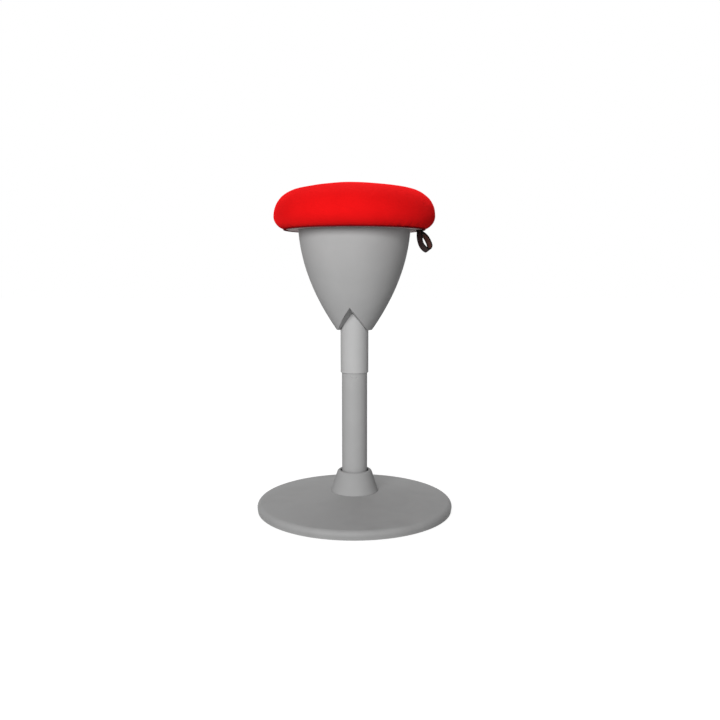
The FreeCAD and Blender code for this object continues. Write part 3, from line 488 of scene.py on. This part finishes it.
LOOKS = {
    "grey_plastic": moulded("grey_moulding", (0.395, 0.395, 0.395), (0.43, 0.43, 0.43), (0.60, 0.72),
                            specular=0.12, worn=(0.50, 0.50, 0.50), painted_shade=0.8),
    "grey_paint": moulded("grey_powder_coat", (0.405, 0.405, 0.405), (0.44, 0.44, 0.44), (0.50, 0.62),
                          grain=2200.0, specular=0.12, painted_shade=0.8),
    "sleeve_grey": moulded("sleeve_moulding", (0.475, 0.475, 0.475), (0.515, 0.515, 0.515), (0.52, 0.64),
                           specular=0.12, worn=(0.6, 0.6, 0.6), painted_shade=0.8),
    "pan_grey": moulded("pan_moulding", (0.50, 0.37, 0.37), (0.58, 0.44, 0.44), (0.5, 0.65), specular=0.1,
                        painted_shade=0.6),
    "rubber_grey": moulded("collar_rubber", (0.375, 0.375, 0.375), (0.415, 0.415, 0.415), (0.68, 0.80),
                           grain=1800.0, specular=0.1, painted_shade=0.8),
    "rubber_black": moulded("black_rubber", (0.016, 0.016, 0.017), (0.032, 0.032, 0.033), (0.65, 0.85),
                            grain=1600.0, specular=0.3),
    "steel": turned_metal("zinc_plate", (0.50, 0.51, 0.54), (0.70, 0.71, 0.73), (0.28, 0.45)),
    "cast_iron": moulded("painted_casting", (0.030, 0.031, 0.033), (0.060, 0.061, 0.064), (0.55, 0.8),
                         depth=0.00012, grain=500.0, worn=(0.16, 0.15, 0.15)),
    "chrome": turned_metal("hard_chrome", (0.68, 0.69, 0.71), (0.78, 0.79, 0.80), (0.06, 0.14),
                           spacing=3000.0),
    "black_steel": moulded("black_lacquer", (0.016, 0.016, 0.017), (0.030, 0.030, 0.031), (0.30, 0.45),
                           grain=1200.0, worn=(0.25, 0.25, 0.26)),
    "bush_plastic": moulded("natural_acetal", (0.74, 0.73, 0.70), (0.84, 0.83, 0.80), (0.35, 0.5),
                            grain=900.0),
    "plywood": plywood("birch_plywood"),
    "foam": moulded("cut_foam", (0.70, 0.62, 0.42), (0.84, 0.78, 0.60), (0.85, 0.95), depth=0.0004,
                    grain=900.0),
    "red_fabric": cloth("red_cover_cloth", (0.76, 0.0045, 0.0055), (0.88, 0.0070, 0.0080), 620.0, 0.00008,
                        sheen=1.0),
    "hem": cloth("hem_elastic", (0.10, 0.004, 0.007), (0.20, 0.010, 0.015), 900.0, 0.00012),
    "leather": leather("strap_grain_side", (0.014, 0.008, 0.008), (0.075, 0.034, 0.036), (0.50, 0.68)),
}
STRAP_FLESH = leather("strap_flesh_side", (0.070, 0.026, 0.022), (0.22, 0.085, 0.070), (0.7, 0.9),
                      pebbles=1300.0)
STRAP_EDGE = leather("strap_painted_edge", (0.006, 0.006, 0.006), (0.022, 0.018, 0.017), (0.60, 0.75),
                     pebbles=1600.0, specular=0.04)
STITCHING = cloth("strap_stitching", (0.012, 0.009, 0.008), (0.045, 0.030, 0.026), 2600.0, 0.00004)
# Painted shade: a darker copy of the grey moulding for the foot disc, standing in for the light that its
# upturned top misses.
SHADED_DISC_GREY = moulded("foot_disc_shaded_moulding", (0.335, 0.335, 0.335), (0.37, 0.37, 0.37), (0.58, 0.70),
                    specular=0.40, scuffs=0.25, worn=(0.48, 0.48, 0.48), painted_shade=0.6)

slot_of = {row["node"]: row["material_slot"] for row in frame["record"]["subparts"]}


def paint(obj, *materials):
    obj.data.materials.clear()
    for material in materials:
        obj.data.materials.append(material)


for name, obj in nodes.items():
    # The foot disc takes the darker copy of the grey, which is painted shade.
    look = SHADED_DISC_GREY if name == "base_shell" else LOOKS[slot_of[name]]
    if obj.data.materials:
        for i in range(len(obj.data.materials)):
            obj.data.materials[i] = look
    else:
        obj.data.materials.append(look)


# Meshes

def piece(name, verts, faces, *materials, smooth=True):
    mesh = bpy.data.meshes.new(name)
    mesh.from_pydata([tuple(v) for v in verts], [], faces)
    mesh.validate()
    for polygon in mesh.polygons:
        polygon.use_smooth = smooth
    obj = bpy.data.objects.new(name, mesh)
    scene.collection.objects.link(obj)
    paint(obj, *materials)
    return obj


def revolved(profile, count, closed_ring=False):
    """Vertices and faces of an outline of (r, z) turned about Z. An end at r = 0 becomes one vertex."""
    verts, rows = [], []
    for r, z in profile:
        if r < 1e-9:
            rows.append([len(verts)] * count)
            verts.append((0.0, 0.0, z))
            continue
        rows.append(list(range(len(verts), len(verts) + count)))
        for i in range(count):
            a = TAU * i / count
            verts.append((r * math.cos(a), r * math.sin(a), z))
    if closed_ring:
        rows.append(rows[0])
    faces = []
    for low, high in zip(rows, rows[1:]):
        for i in range(count):
            j = (i + 1) % count
            corners = []
            for v in (low[i], low[j], high[j], high[i]):
                if v not in corners:
                    corners.append(v)
            if len(corners) > 2:
                faces.append(corners)
    return verts, faces


def arc_points(centre, radius, start, end, count, last=True):
    """Points on an arc in (r, z), angles from the +r direction towards +z."""
    total = count + 1 if last else count
    return [
        (centre[0] + radius * math.cos(start + (end - start) * i / count),
         centre[1] + radius * math.sin(start + (end - start) * i / count))
        for i in range(total)
    ]


def cushion_profile(inset, side, shoulder, crown):
    """Outline of the cushion's skin from its foot to the axis, moved in by inset."""
    side_radius = WIDEST_HEIGHT - SEAT_UNDERSIDE - inset
    side_centre = CUSHION_RADIUS - inset - side_radius
    foot = math.acos((FOOT_RADIUS - side_centre) / side_radius)
    shoulder_radius = SHOULDER_RADIUS - inset
    shoulder_centre = CUSHION_RADIUS - SHOULDER_RADIUS
    rise = CROWN_HEIGHT - inset - WIDEST_HEIGHT
    reach = shoulder_centre ** 2 + rise ** 2 - shoulder_radius ** 2
    crown_radius = reach / (2 * (rise - shoulder_radius))
    crown_centre = CROWN_HEIGHT - inset - crown_radius
    lean = math.atan2(shoulder_centre, WIDEST_HEIGHT - crown_centre)
    points = arc_points((side_centre, WIDEST_HEIGHT), side_radius, -foot, 0.0, side, last=False)
    turn = math.pi / 2 - lean
    points += arc_points((shoulder_centre, WIDEST_HEIGHT), shoulder_radius, 0.0, turn, shoulder, last=False)
    points += arc_points((0.0, crown_centre), crown_radius, turn, math.pi / 2, crown)
    return points


def puffed_body():
    """Cloth simulation of the cushion: it starts slightly small and swells, and each point's move is capped."""
    outline = cushion_profile(CLOTH_INSET, 8, 10, 12)
    underside = [(0.0, SEAT_UNDERSIDE + 0.006), (0.06, SEAT_UNDERSIDE + 0.006), (0.12, SEAT_UNDERSIDE + 0.005)]
    verts, faces = revolved(underside + outline, 96)
    body = piece("cushion_start", verts, faces, LOOKS["red_fabric"])
    remesh = body.modifiers.new("even", "REMESH")
    remesh.mode = "VOXEL"
    remesh.voxel_size = CLOTH_SPACING
    bpy.context.view_layer.update()
    even = bpy.data.meshes.new_from_object(body.evaluated_get(bpy.context.evaluated_depsgraph_get()))
    body.modifiers.clear()
    body.data = even
    rest = [v.co.copy() for v in even.vertices]
    held = body.vertex_groups.new(name="held")
    for v in even.vertices:
        if v.co.z < SEAT_UNDERSIDE + 0.008 and math.hypot(v.co.x, v.co.y) < FOOT_RADIUS:
            held.add([v.index], 1.0, "REPLACE")
    fabric = body.modifiers.new("fabric", "CLOTH")
    fabric.settings.quality = 6
    fabric.settings.use_pressure = True
    fabric.settings.uniform_pressure_force = CLOTH_PRESSURE
    fabric.settings.effector_weights.gravity = 0.0
    fabric.settings.vertex_group_mass = "held"
    for number in range(1, CLOTH_FRAMES + 1):
        scene.frame_set(number)
    shaped = body.evaluated_get(bpy.context.evaluated_depsgraph_get()).to_mesh()
    moved = [v.co.copy() for v in shaped.vertices]
    body.modifiers.clear()
    scene.frame_set(1)
    for v, start, end in zip(body.data.vertices, rest, moved):
        step = end - start
        if step.length > CLOTH_MOST:
            step *= CLOTH_MOST / step.length
        v.co = start + step
    tree = BVHTree.FromPolygons(
        [v.co.copy() for v in body.data.vertices],
        [tuple(p.vertices) for p in body.data.polygons],
    )
    mesh = body.data
    bpy.data.objects.remove(body)
    bpy.data.meshes.remove(mesh)
    return tree


def gather(angle, low):
    """Depth of the small pleats that the elastic draws in the cover's lower edge."""
    wander = 1.4 * math.sin(3 * angle + 0.7) + 0.9 * math.sin(7 * angle + 2.1)
    coarse = math.sin(54 * angle + 3 * wander)
    fine = math.sin(131 * angle + 5 * wander)
    patch = 0.55 + 0.45 * math.sin(5 * angle + 1.3 * math.sin(2 * angle))
    return (0.6 * coarse + 0.4 * fine) * patch * low


def skin_direction(spot):
    """Outward direction of the cushion's skin at a point on it."""
    radius = math.hypot(spot.x, spot.y)
    flat = Vector((spot.x, spot.y, 0))
    if spot.z < WIDEST_HEIGHT:
        centre = flat.normalized() * (CUSHION_RADIUS - (WIDEST_HEIGHT - SEAT_UNDERSIDE))
    elif radius > CUSHION_RADIUS - SHOULDER_RADIUS:
        centre = flat.normalized() * (CUSHION_RADIUS - SHOULDER_RADIUS)
    else:
        return Vector((spot.x, spot.y, 0.45)).normalized()
    centre.z = WIDEST_HEIGHT
    return (spot - centre).normalized()


def cover():
    """Fabric cover: a fine skin on the cushion's outline, which follows the simulated body and its pleats."""
    tree = puffed_body()
    around = COVER_POINTS_ROUND
    skin = cushion_profile(0.0, 26, 30, 34)
    verts, faces = revolved(skin, around)
    laid = []
    foot_z = skin[0][1]
    for first in range(0, len(verts), around):
        row = [Vector(v) for v in verts[first:first + around]]
        outs = [skin_direction(v) for v in row]
        swell = []
        for spot, out in zip(row, outs):
            hit = tree.ray_cast(spot + out * 0.012, -out, 0.03)[0]
            swell.append(0.0 if hit is None else (hit - spot).dot(out))
        mean = sum(swell) / len(swell)
        for spot, out, rise in zip(row, outs, swell):
            step = RIPPLE_SHARE * (rise - mean) + SWELL_SHARE * mean
            step = max(-COVER_MOST, min(COVER_MOST, step))
            low = max(0.0, 1.0 - (spot.z - foot_z) / PLEAT_HEIGHT)
            step += gather(math.atan2(spot.y, spot.x), low * low) * PLEAT_DEPTH
            soft = noise(spot * 14.0) * 0.0009 + noise(spot * 45.0 + Vector((3, 1, 2))) * 0.00025
            laid.append(spot + out * (step + soft * (1.0 - low) - COVER_SLACK))
    # The cover turns under to the hem
    turn_in = [
        (0.1338, SEAT_UNDERSIDE - 0.0002), (0.1328, SEAT_UNDERSIDE + 0.0012), (0.1322, SEAT_UNDERSIDE + 0.004),
    ]
    rows = [list(range(around))]
    for r, z in turn_in:
        rows.append(list(range(len(laid), len(laid) + around)))
        for i in range(around):
            a = TAU * i / around
            wave = gather(a, 1.0) * 0.0005
            laid.append(Vector(((r + wave) * math.cos(a), (r + wave) * math.sin(a), z)))
    for low, high in zip(rows, rows[1:]):
        for i in range(around):
            j = (i + 1) % around
            faces.append([low[j], low[i], high[i], high[j]])
    obj = piece("cushion_cover", laid, faces, LOOKS["red_fabric"])
    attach(obj, "seat")
    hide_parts("seat_cover", "seat_foam")


def hem():
    """Elastic in its tunnel, puckered all round."""
    around = 720
    sides = 10
    centre_z = SEAT_UNDERSIDE + HEM_RISE
    verts, faces = [], []
    for i in range(around):
        a = TAU * i / around
        pucker = HEM_PUCKER * math.sin(131 * a + 7 * math.sin(3 * a + 0.7))
        for k in range(sides):
            t = TAU * k / sides
            r = HEM_RADIUS + (HEM_HALF_WIDTH + pucker) * math.cos(t)
            z = centre_z + (HEM_HALF_HEIGHT + pucker * 0.4) * math.sin(t)
            verts.append((r * math.cos(a), r * math.sin(a), z))
    for i in range(around):
        j = (i + 1) % around
        for k in range(sides):
            m = (k + 1) % sides
            faces.append([i * sides + k, i * sides + m, j * sides + m, j * sides + k])
    obj = piece("cover_hem_elastic", verts, faces, LOOKS["hem"])
    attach(obj, "seat")
    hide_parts("cover_hem")


def bending(name, outline, bodies, span, slot, *stands_for, count=128, closed_ring=False):
    """Rubber turned from an outline about Z, put in place of the nodes that it stands for."""
    verts, faces = revolved(outline, count, closed_ring)
    obj = piece(name, verts, faces, LOOKS[slot])
    obj.data.set_sharp_from_angle(angle=math.radians(50))
    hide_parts(*stands_for)
    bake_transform(obj)


def collar():
    """Rubber collar in two lengths, which meet at a seam."""
    seam_out = (0.0404, COLLAR_SEAM)
    seam_in = (0.0374, COLLAR_SEAM)
    low_out = [
        (0.0470, COLLAR_FOOT), (0.0470, 0.0380), (0.0463, 0.0396), (0.0452, 0.0422), (0.0438, 0.0462),
        (0.0422, 0.0512), seam_out,
    ]
    low_in = [seam_in, (0.0396, 0.0500), (0.0420, 0.0430), (0.0440, 0.0400), (0.0440, COLLAR_FOOT)]
    high_out = [
        seam_out, (0.0386, 0.0625), (0.0369, 0.0680), (0.0354, 0.0725), (0.0345, 0.0750), (0.0337, 0.0768),
        (0.0325, 0.0782), (0.0311, 0.0791), (0.0298, COLLAR_TOP), (0.0288, 0.0792), (0.0281, 0.0783),
        (0.0277, 0.0765), (0.0273, 0.0742), (0.0264, 0.0728), (0.0254, 0.0724),
    ]
    high_in = [(0.0254, 0.0705), (0.0285, 0.0700), (0.0320, 0.0680), (0.0345, 0.0640), seam_in]
    low_span = (COLLAR_FOOT, COLLAR_SEAM)
    high_span = (COLLAR_SEAM, COLLAR_TOP - 0.0095)
    bending("collar_low", low_in + low_out, ("base", "tilt_link"), low_span, "rubber_grey", "collar_boot")
    bending("collar_high", high_out + high_in, ("tilt_link", "column"), high_span, "rubber_grey", "collar_boot")


def rubber_rings():
    """Rubber rings of the tilt joint, hollow at their flanks."""
    rings = (
        ("lower_ring", "lower_rubber", 0.015, 0.028, ("base", "tilt_link"), 0.0, 1.0),
        ("middle_ring", "middle_rubber", 0.015, 0.028, ("tilt_link", "column"), 0.0, 1.0),
        ("upper_ring_low", "upper_rubber", 0.027, 0.038, ("column", "tilt_link"), 0.0, 0.5),
        ("upper_ring_high", "upper_rubber", 0.027, 0.038, ("tilt_link", "base"), 0.5, 1.0),
    )
    steps = 8
    for name, node, inner, outer, bodies, start, end in rings:
        low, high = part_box(node)
        bottom = low[2]
        height = high[2] - low[2]
        hollow = height / 6
        shares = [start + (end - start) * i / steps for i in range(steps + 1)]
        bows = [hollow * math.sin(math.pi * share) for share in shares]
        out = [(outer - bow, bottom + height * share) for share, bow in zip(shares, bows)]
        back = [(inner + bow, bottom + height * share) for share, bow in zip(shares, bows)]
        span = (bottom + height * start, bottom + height * end)
        bending(name, out + back[::-1], bodies, span, "rubber_black", node, count=96, closed_ring=True)


def three_point_arc(start, middle, end, count):
    """Points after start on the arc from start through middle to end."""
    (x1, y1), (x2, y2), (x3, y3) = start, middle, end
    spread = 2 * (x1 * (y2 - y3) + x2 * (y3 - y1) + x3 * (y1 - y2))
    q1, q2, q3 = x1 * x1 + y1 * y1, x2 * x2 + y2 * y2, x3 * x3 + y3 * y3
    cx = (q1 * (y2 - y3) + q2 * (y3 - y1) + q3 * (y1 - y2)) / spread
    cy = (q1 * (x3 - x2) + q2 * (x1 - x3) + q3 * (x2 - x1)) / spread
    radius = math.hypot(x1 - cx, y1 - cy)
    first = math.atan2(y1 - cy, x1 - cx)
    sign = -1 if spread < 0 else 1
    sweep = sign * ((sign * (math.atan2(y3 - cy, x3 - cx) - first)) % TAU)
    return [
        (cx + radius * math.cos(first + sweep * i / count), cy + radius * math.sin(first + sweep * i / count))
        for i in range(1, count + 1)
    ]


def strap_lines(side):
    """Outlines of the strap at one edge of its band, as matching runs of points: the underside of the tail,
    the top of the tail, the outside of the loop and the inside of the loop."""
    under = STRAP_TOP - 2 * STRAP_THICKNESS
    neck = SEAT_UNDERSIDE - 0.002
    bottom = SEAT_UNDERSIDE - STRAP_DROP
    corner = bottom + 0.009
    tail = -0.0036

    def spot(reach, height, share):
        return (reach + side * STRAP_SWAY * share, height - side * STRAP_TWIST * share)

    def run(start, *arcs):
        points = [start]
        for middle, end, count in arcs:
            points += three_point_arc(points[-1], middle, end, count)
        return points

    below = [(tail, under), (tail / 2, under)]
    below += run((0.003, under), ((0.0088, under - 0.0036), (0.0122, neck - 0.0023), 8))
    above = [(tail, STRAP_TOP), (tail / 2, STRAP_TOP)]
    above += run((0.003, STRAP_TOP), ((0.0110, STRAP_TOP - 0.0046), (0.0148, neck), 8))
    outside = run(
        (0.0122, neck - 0.0023),
        (spot(0.0136, bottom + 0.020, 0.4), spot(0.0212, bottom + 0.0078, 0.7), 16),
        (spot(0.0290, bottom + 0.0028, 0.9), spot(STRAP_REACH - 0.0099, bottom, 1), 12),
        (spot(STRAP_REACH - 0.002, bottom + 0.002, 1), spot(STRAP_REACH, corner, 0.8), 12),
        (spot(0.0345, neck - 0.0115, 0.5), (0.0148, neck), 20),
    )
    inside = run(
        (0.0164, neck - 0.005),
        (spot(0.0155, bottom + 0.0204, 0.4), spot(0.0224, bottom + 0.0092, 0.7), 16),
        (spot(0.0297, bottom + 0.0045, 0.9), spot(STRAP_REACH - 0.0098, bottom + 0.0018, 1), 12),
        (spot(STRAP_REACH - 0.0034, bottom + 0.0033, 1), spot(STRAP_REACH - 0.0018, corner - 0.0003, 0.8), 12),
        (spot(0.0332, neck - 0.0128, 0.5), (0.0164, neck - 0.005), 20),
    )
    return below, above, outside, inside


def strap_place(reach, across, height):
    """From the strap's own plane to the stool's frame."""
    c, s = math.cos(STRAP_AZIMUTH), math.sin(STRAP_AZIMUTH)
    x = STRAP_ANCHOR[0] + reach * c - across * s
    y = STRAP_ANCHOR[1] + reach * s + across * c
    return Vector((x, y, height))


def strap_point(near, far, across):
    """Point between the band's near and far edges, across from -1 to 1."""
    share = (across + 1) / 2
    reach = near[0] + (far[0] - near[0]) * share
    height = near[1] + (far[1] - near[1]) * share
    return reach, height


# Stations across the strap: place from -1 to 1, and how thick the leather is there
STRAP_STATIONS = (
    (-1.0, 0.50), (-0.965, 0.88), (-0.90, 1.02), (-0.83, 0.98), (-0.78, 0.80), (-0.73, 0.98), (-0.55, 1.08),
    (-0.2, 1.12), (0.2, 1.12),
    (0.55, 1.08), (0.73, 0.98), (0.78, 0.80), (0.83, 0.98), (0.90, 1.02), (0.965, 0.88), (1.0, 0.50),
)
STRAP_STITCH_ROW = 0.78
STITCH_PITCH = 0.0031
STITCH_LENGTH = 0.0022
STITCH_THREAD = 0.00032
STITCH_MARGIN = 0.003
STITCH_DEPTH = 0.93


def strap():
    """Leather strap: a doubled tail under the lever and an open, twisted loop with painted edges."""
    near, far = strap_lines(-1), strap_lines(1)
    verts, faces, tints = [], [], []
    rows = []
    for across, thick in STRAP_STATIONS:
        lines = [[strap_point(a, b, across) for a, b in zip(n, f)] for n, f in zip(near, far)]
        row = []
        for first, second in ((0, 1), (2, 3)):
            low, high = [], []
            for p, q in zip(lines[first], lines[second]):
                mid = ((p[0] + q[0]) / 2, (p[1] + q[1]) / 2)
                for end, store in ((p, low), (q, high)):
                    store.append((mid[0] + (end[0] - mid[0]) * thick, mid[1] + (end[1] - mid[1]) * thick))
            row += [low, high]
        numbered = []
        for line in row:
            start = len(verts)
            for reach, height in line:
                verts.append(strap_place(reach, across * STRAP_WIDTH / 2, height))
            numbered.append(list(range(start, len(verts))))
        rows.append(numbered)

    def quad(corners, tint):
        faces.append(corners)
        tints.append(tint)

    for (across, _), (after, _), a, b in zip(STRAP_STATIONS, STRAP_STATIONS[1:], rows, rows[1:]):
        edge = min(abs(across), abs(after)) > STRAP_STITCH_ROW - 0.06
        for line, tint in ((0, 0), (1, 0), (2, 0), (3, 1)):
            for i in range(len(a[line]) - 1):
                corners = [a[line][i], b[line][i], b[line][i + 1], a[line][i + 1]]
                if line in (1, 3):
                    corners.reverse()
                quad(corners, 2 if edge else tint)
        quad([a[0][0], a[1][0], b[1][0], b[0][0]], 2)
    for row, flip in ((rows[0], False), (rows[-1], True)):
        for first, second in ((0, 1), (2, 3)):
            for i in range(len(row[first]) - 1):
                corners = [row[first][i], row[first][i + 1], row[second][i + 1], row[second][i]]
                if flip:
                    corners.reverse()
                quad(corners, 2)
        throat = [row[0][-1], row[2][0], row[3][0], row[3][-1], row[2][-1], row[1][-1]]
        quad(throat[::-1] if flip else throat, 2)
    obj = piece("pull_strap_leather", verts, faces, LOOKS["leather"], STRAP_FLESH, STRAP_EDGE)
    for polygon, tint in zip(obj.data.polygons, tints):
        polygon.material_index = tint
    obj.data.set_sharp_from_angle(angle=math.radians(55))
    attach(obj, "lever")
    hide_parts("pull_strap")


def strap_stitches():
    """Two rows of stitches sunk in grooves along both faces of the loop."""
    near, far = strap_lines(-1), strap_lines(1)
    verts, faces = [], []
    sides = 6
    ends = 5
    for line, other in ((2, 3), (3, 2)):
        for across in (-STRAP_STITCH_ROW, STRAP_STITCH_ROW):
            path = []
            for n, f, n2, f2 in zip(near[line], far[line], near[other], far[other]):
                p = strap_point(n, f, across)
                q = strap_point(n2, f2, across)
                mid = ((p[0] + q[0]) / 2, (p[1] + q[1]) / 2)
                spot = (mid[0] + (p[0] - mid[0]) * STITCH_DEPTH, mid[1] + (p[1] - mid[1]) * STITCH_DEPTH)
                path.append(strap_place(spot[0], across * STRAP_WIDTH / 2, spot[1]))
            reach = [0.0]
            for a, b in zip(path, path[1:]):
                reach.append(reach[-1] + (b - a).length)

            def at(distance):
                for i in range(len(path) - 1):
                    if distance <= reach[i + 1]:
                        share = (distance - reach[i]) / (reach[i + 1] - reach[i])
                        return path[i].lerp(path[i + 1], share)
                return path[-1]

            start = STITCH_MARGIN
            while start + STITCH_LENGTH < reach[-1] - STITCH_MARGIN:
                ring_start = len(verts)
                for k in range(ends):
                    share = k / (ends - 1)
                    centre = at(start + STITCH_LENGTH * share)
                    ahead = (at(start + STITCH_LENGTH) - at(start)).normalized()
                    side = ahead.cross(Vector((0, 0, 1))).normalized()
                    up = side.cross(ahead)
                    size = STITCH_THREAD * math.sqrt(max(0.05, 1 - (2 * share - 1) ** 2))
                    for m in range(sides):
                        t = TAU * m / sides
                        verts.append(centre + side * size * math.cos(t) + up * size * math.sin(t))
                for k in range(ends - 1):
                    for m in range(sides):
                        n = (m + 1) % sides
                        a = ring_start + k * sides
                        faces.append([a + m, a + n, a + sides + n, a + sides + m])
                faces.append([ring_start + m for m in range(sides)][::-1])
                faces.append([ring_start + (ends - 1) * sides + m for m in range(sides)])
                start += STITCH_PITCH
    obj = piece("strap_stitches", verts, faces, STITCHING)
    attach(obj, "lever")


cover()
hem()
collar()
rubber_rings()
strap()
strap_stitches()


# Room, light and camera

def seen_directly(tree):
    """1 for rays from the camera and for sharp reflections and transmission, 0 for light that bounces."""
    seen = add(tree, "ShaderNodeLightPath")
    level = maths(tree, "MAXIMUM", seen.outputs["Is Camera Ray"], seen.outputs["Is Glossy Ray"])
    return maths(tree, "MAXIMUM", level, seen.outputs["Is Transmission Ray"])


def floor():
    """Pale floor that keeps the stool's soft shadow near it and turns plain white further out."""
    size = 12.0
    corners = [(-size, -size, 0), (size, -size, 0), (size, size, 0), (-size, size, 0)]
    obj = piece("floor", corners, [[0, 1, 2, 3]], smooth=False)
    material = bpy.data.materials.new("studio_floor")
    material.use_nodes = True
    tree = material.node_tree
    tree.nodes.clear()
    end = add(tree, "ShaderNodeOutputMaterial")
    paper = add(tree, "ShaderNodeBsdfDiffuse")
    paper.inputs["Color"].default_value = (0.5, 0.5, 0.5, 1)
    shaded = add(tree, "ShaderNodeBsdfDiffuse")
    shaded.inputs["Color"].default_value = (0.30, 0.30, 0.30, 1)
    glow = add(tree, "ShaderNodeEmission")
    glow.inputs["Color"].default_value = (1, 1, 1, 1)
    place = add(tree, "ShaderNodeTexCoord")
    distance = add(tree, "ShaderNodeVectorMath", operation="LENGTH")
    wire(tree, place.outputs["Object"], distance.inputs[0])
    white = ramp(tree, distance.outputs["Value"], FLOOR_SHADOW_REACH, FLOOR_WHITE_REACH, FLOOR_GLOW, 1.0)
    level = seen_directly(tree)
    wire(tree, maths(tree, "MULTIPLY", level, white), glow.inputs["Strength"])
    share = add(tree, "ShaderNodeMixShader")
    wire(tree, level, share.inputs[0])
    wire(tree, paper.outputs[0], share.inputs[1])
    wire(tree, shaded.outputs[0], share.inputs[2])
    total = add(tree, "ShaderNodeAddShader")
    wire(tree, share.outputs[0], total.inputs[0])
    wire(tree, glow.outputs[0], total.inputs[1])
    wire(tree, total.outputs[0], end.inputs["Surface"])
    obj.data.materials.append(material)


def world():
    surround = bpy.data.worlds.new("studio")
    scene.world = surround
    surround.use_nodes = True
    tree = surround.node_tree
    back = tree.nodes["Background"]
    back.inputs["Color"].default_value = (1, 1, 1, 1)
    wire(tree, ramp(tree, seen_directly(tree), 0.0, 1.0, ROOM_LEVEL, 1.0), back.inputs["Strength"])


def lamp(name, place, aim, size, power):
    light = bpy.data.lights.new(name, "AREA")
    light.shape = "RECTANGLE"
    light.size, light.size_y = size
    light.energy = power
    obj = bpy.data.objects.new(name, light)
    scene.collection.objects.link(obj)
    obj.location = place
    obj.rotation_euler = (Vector(aim) - Vector(place)).to_track_quat("-Z", "Y").to_euler()
    obj.visible_camera = False


def camera():
    data = bpy.data.cameras.new("camera")
    data.sensor_fit = "HORIZONTAL"
    data.sensor_width = SENSOR_WIDTH
    data.lens = CAMERA_FOCAL_PIXELS / PICTURE_WIDTH * SENSOR_WIDTH
    obj = bpy.data.objects.new("camera", data)
    scene.collection.objects.link(obj)
    obj.location = CAMERA_PLACE
    obj.rotation_euler = (math.pi / 2 - CAMERA_PITCH, 0, 0)
    scene.camera = obj


floor()
world()
lamp("key", (-0.68, -2.50, 1.16), (0, 0, 0.35), (1.1, 1.1), 60)
lamp("top", (0.0, 0.50, 1.70), (0, 0, 0), (0.9, 0.6), 8)
camera()
scene.view_settings.view_transform = "Standard"
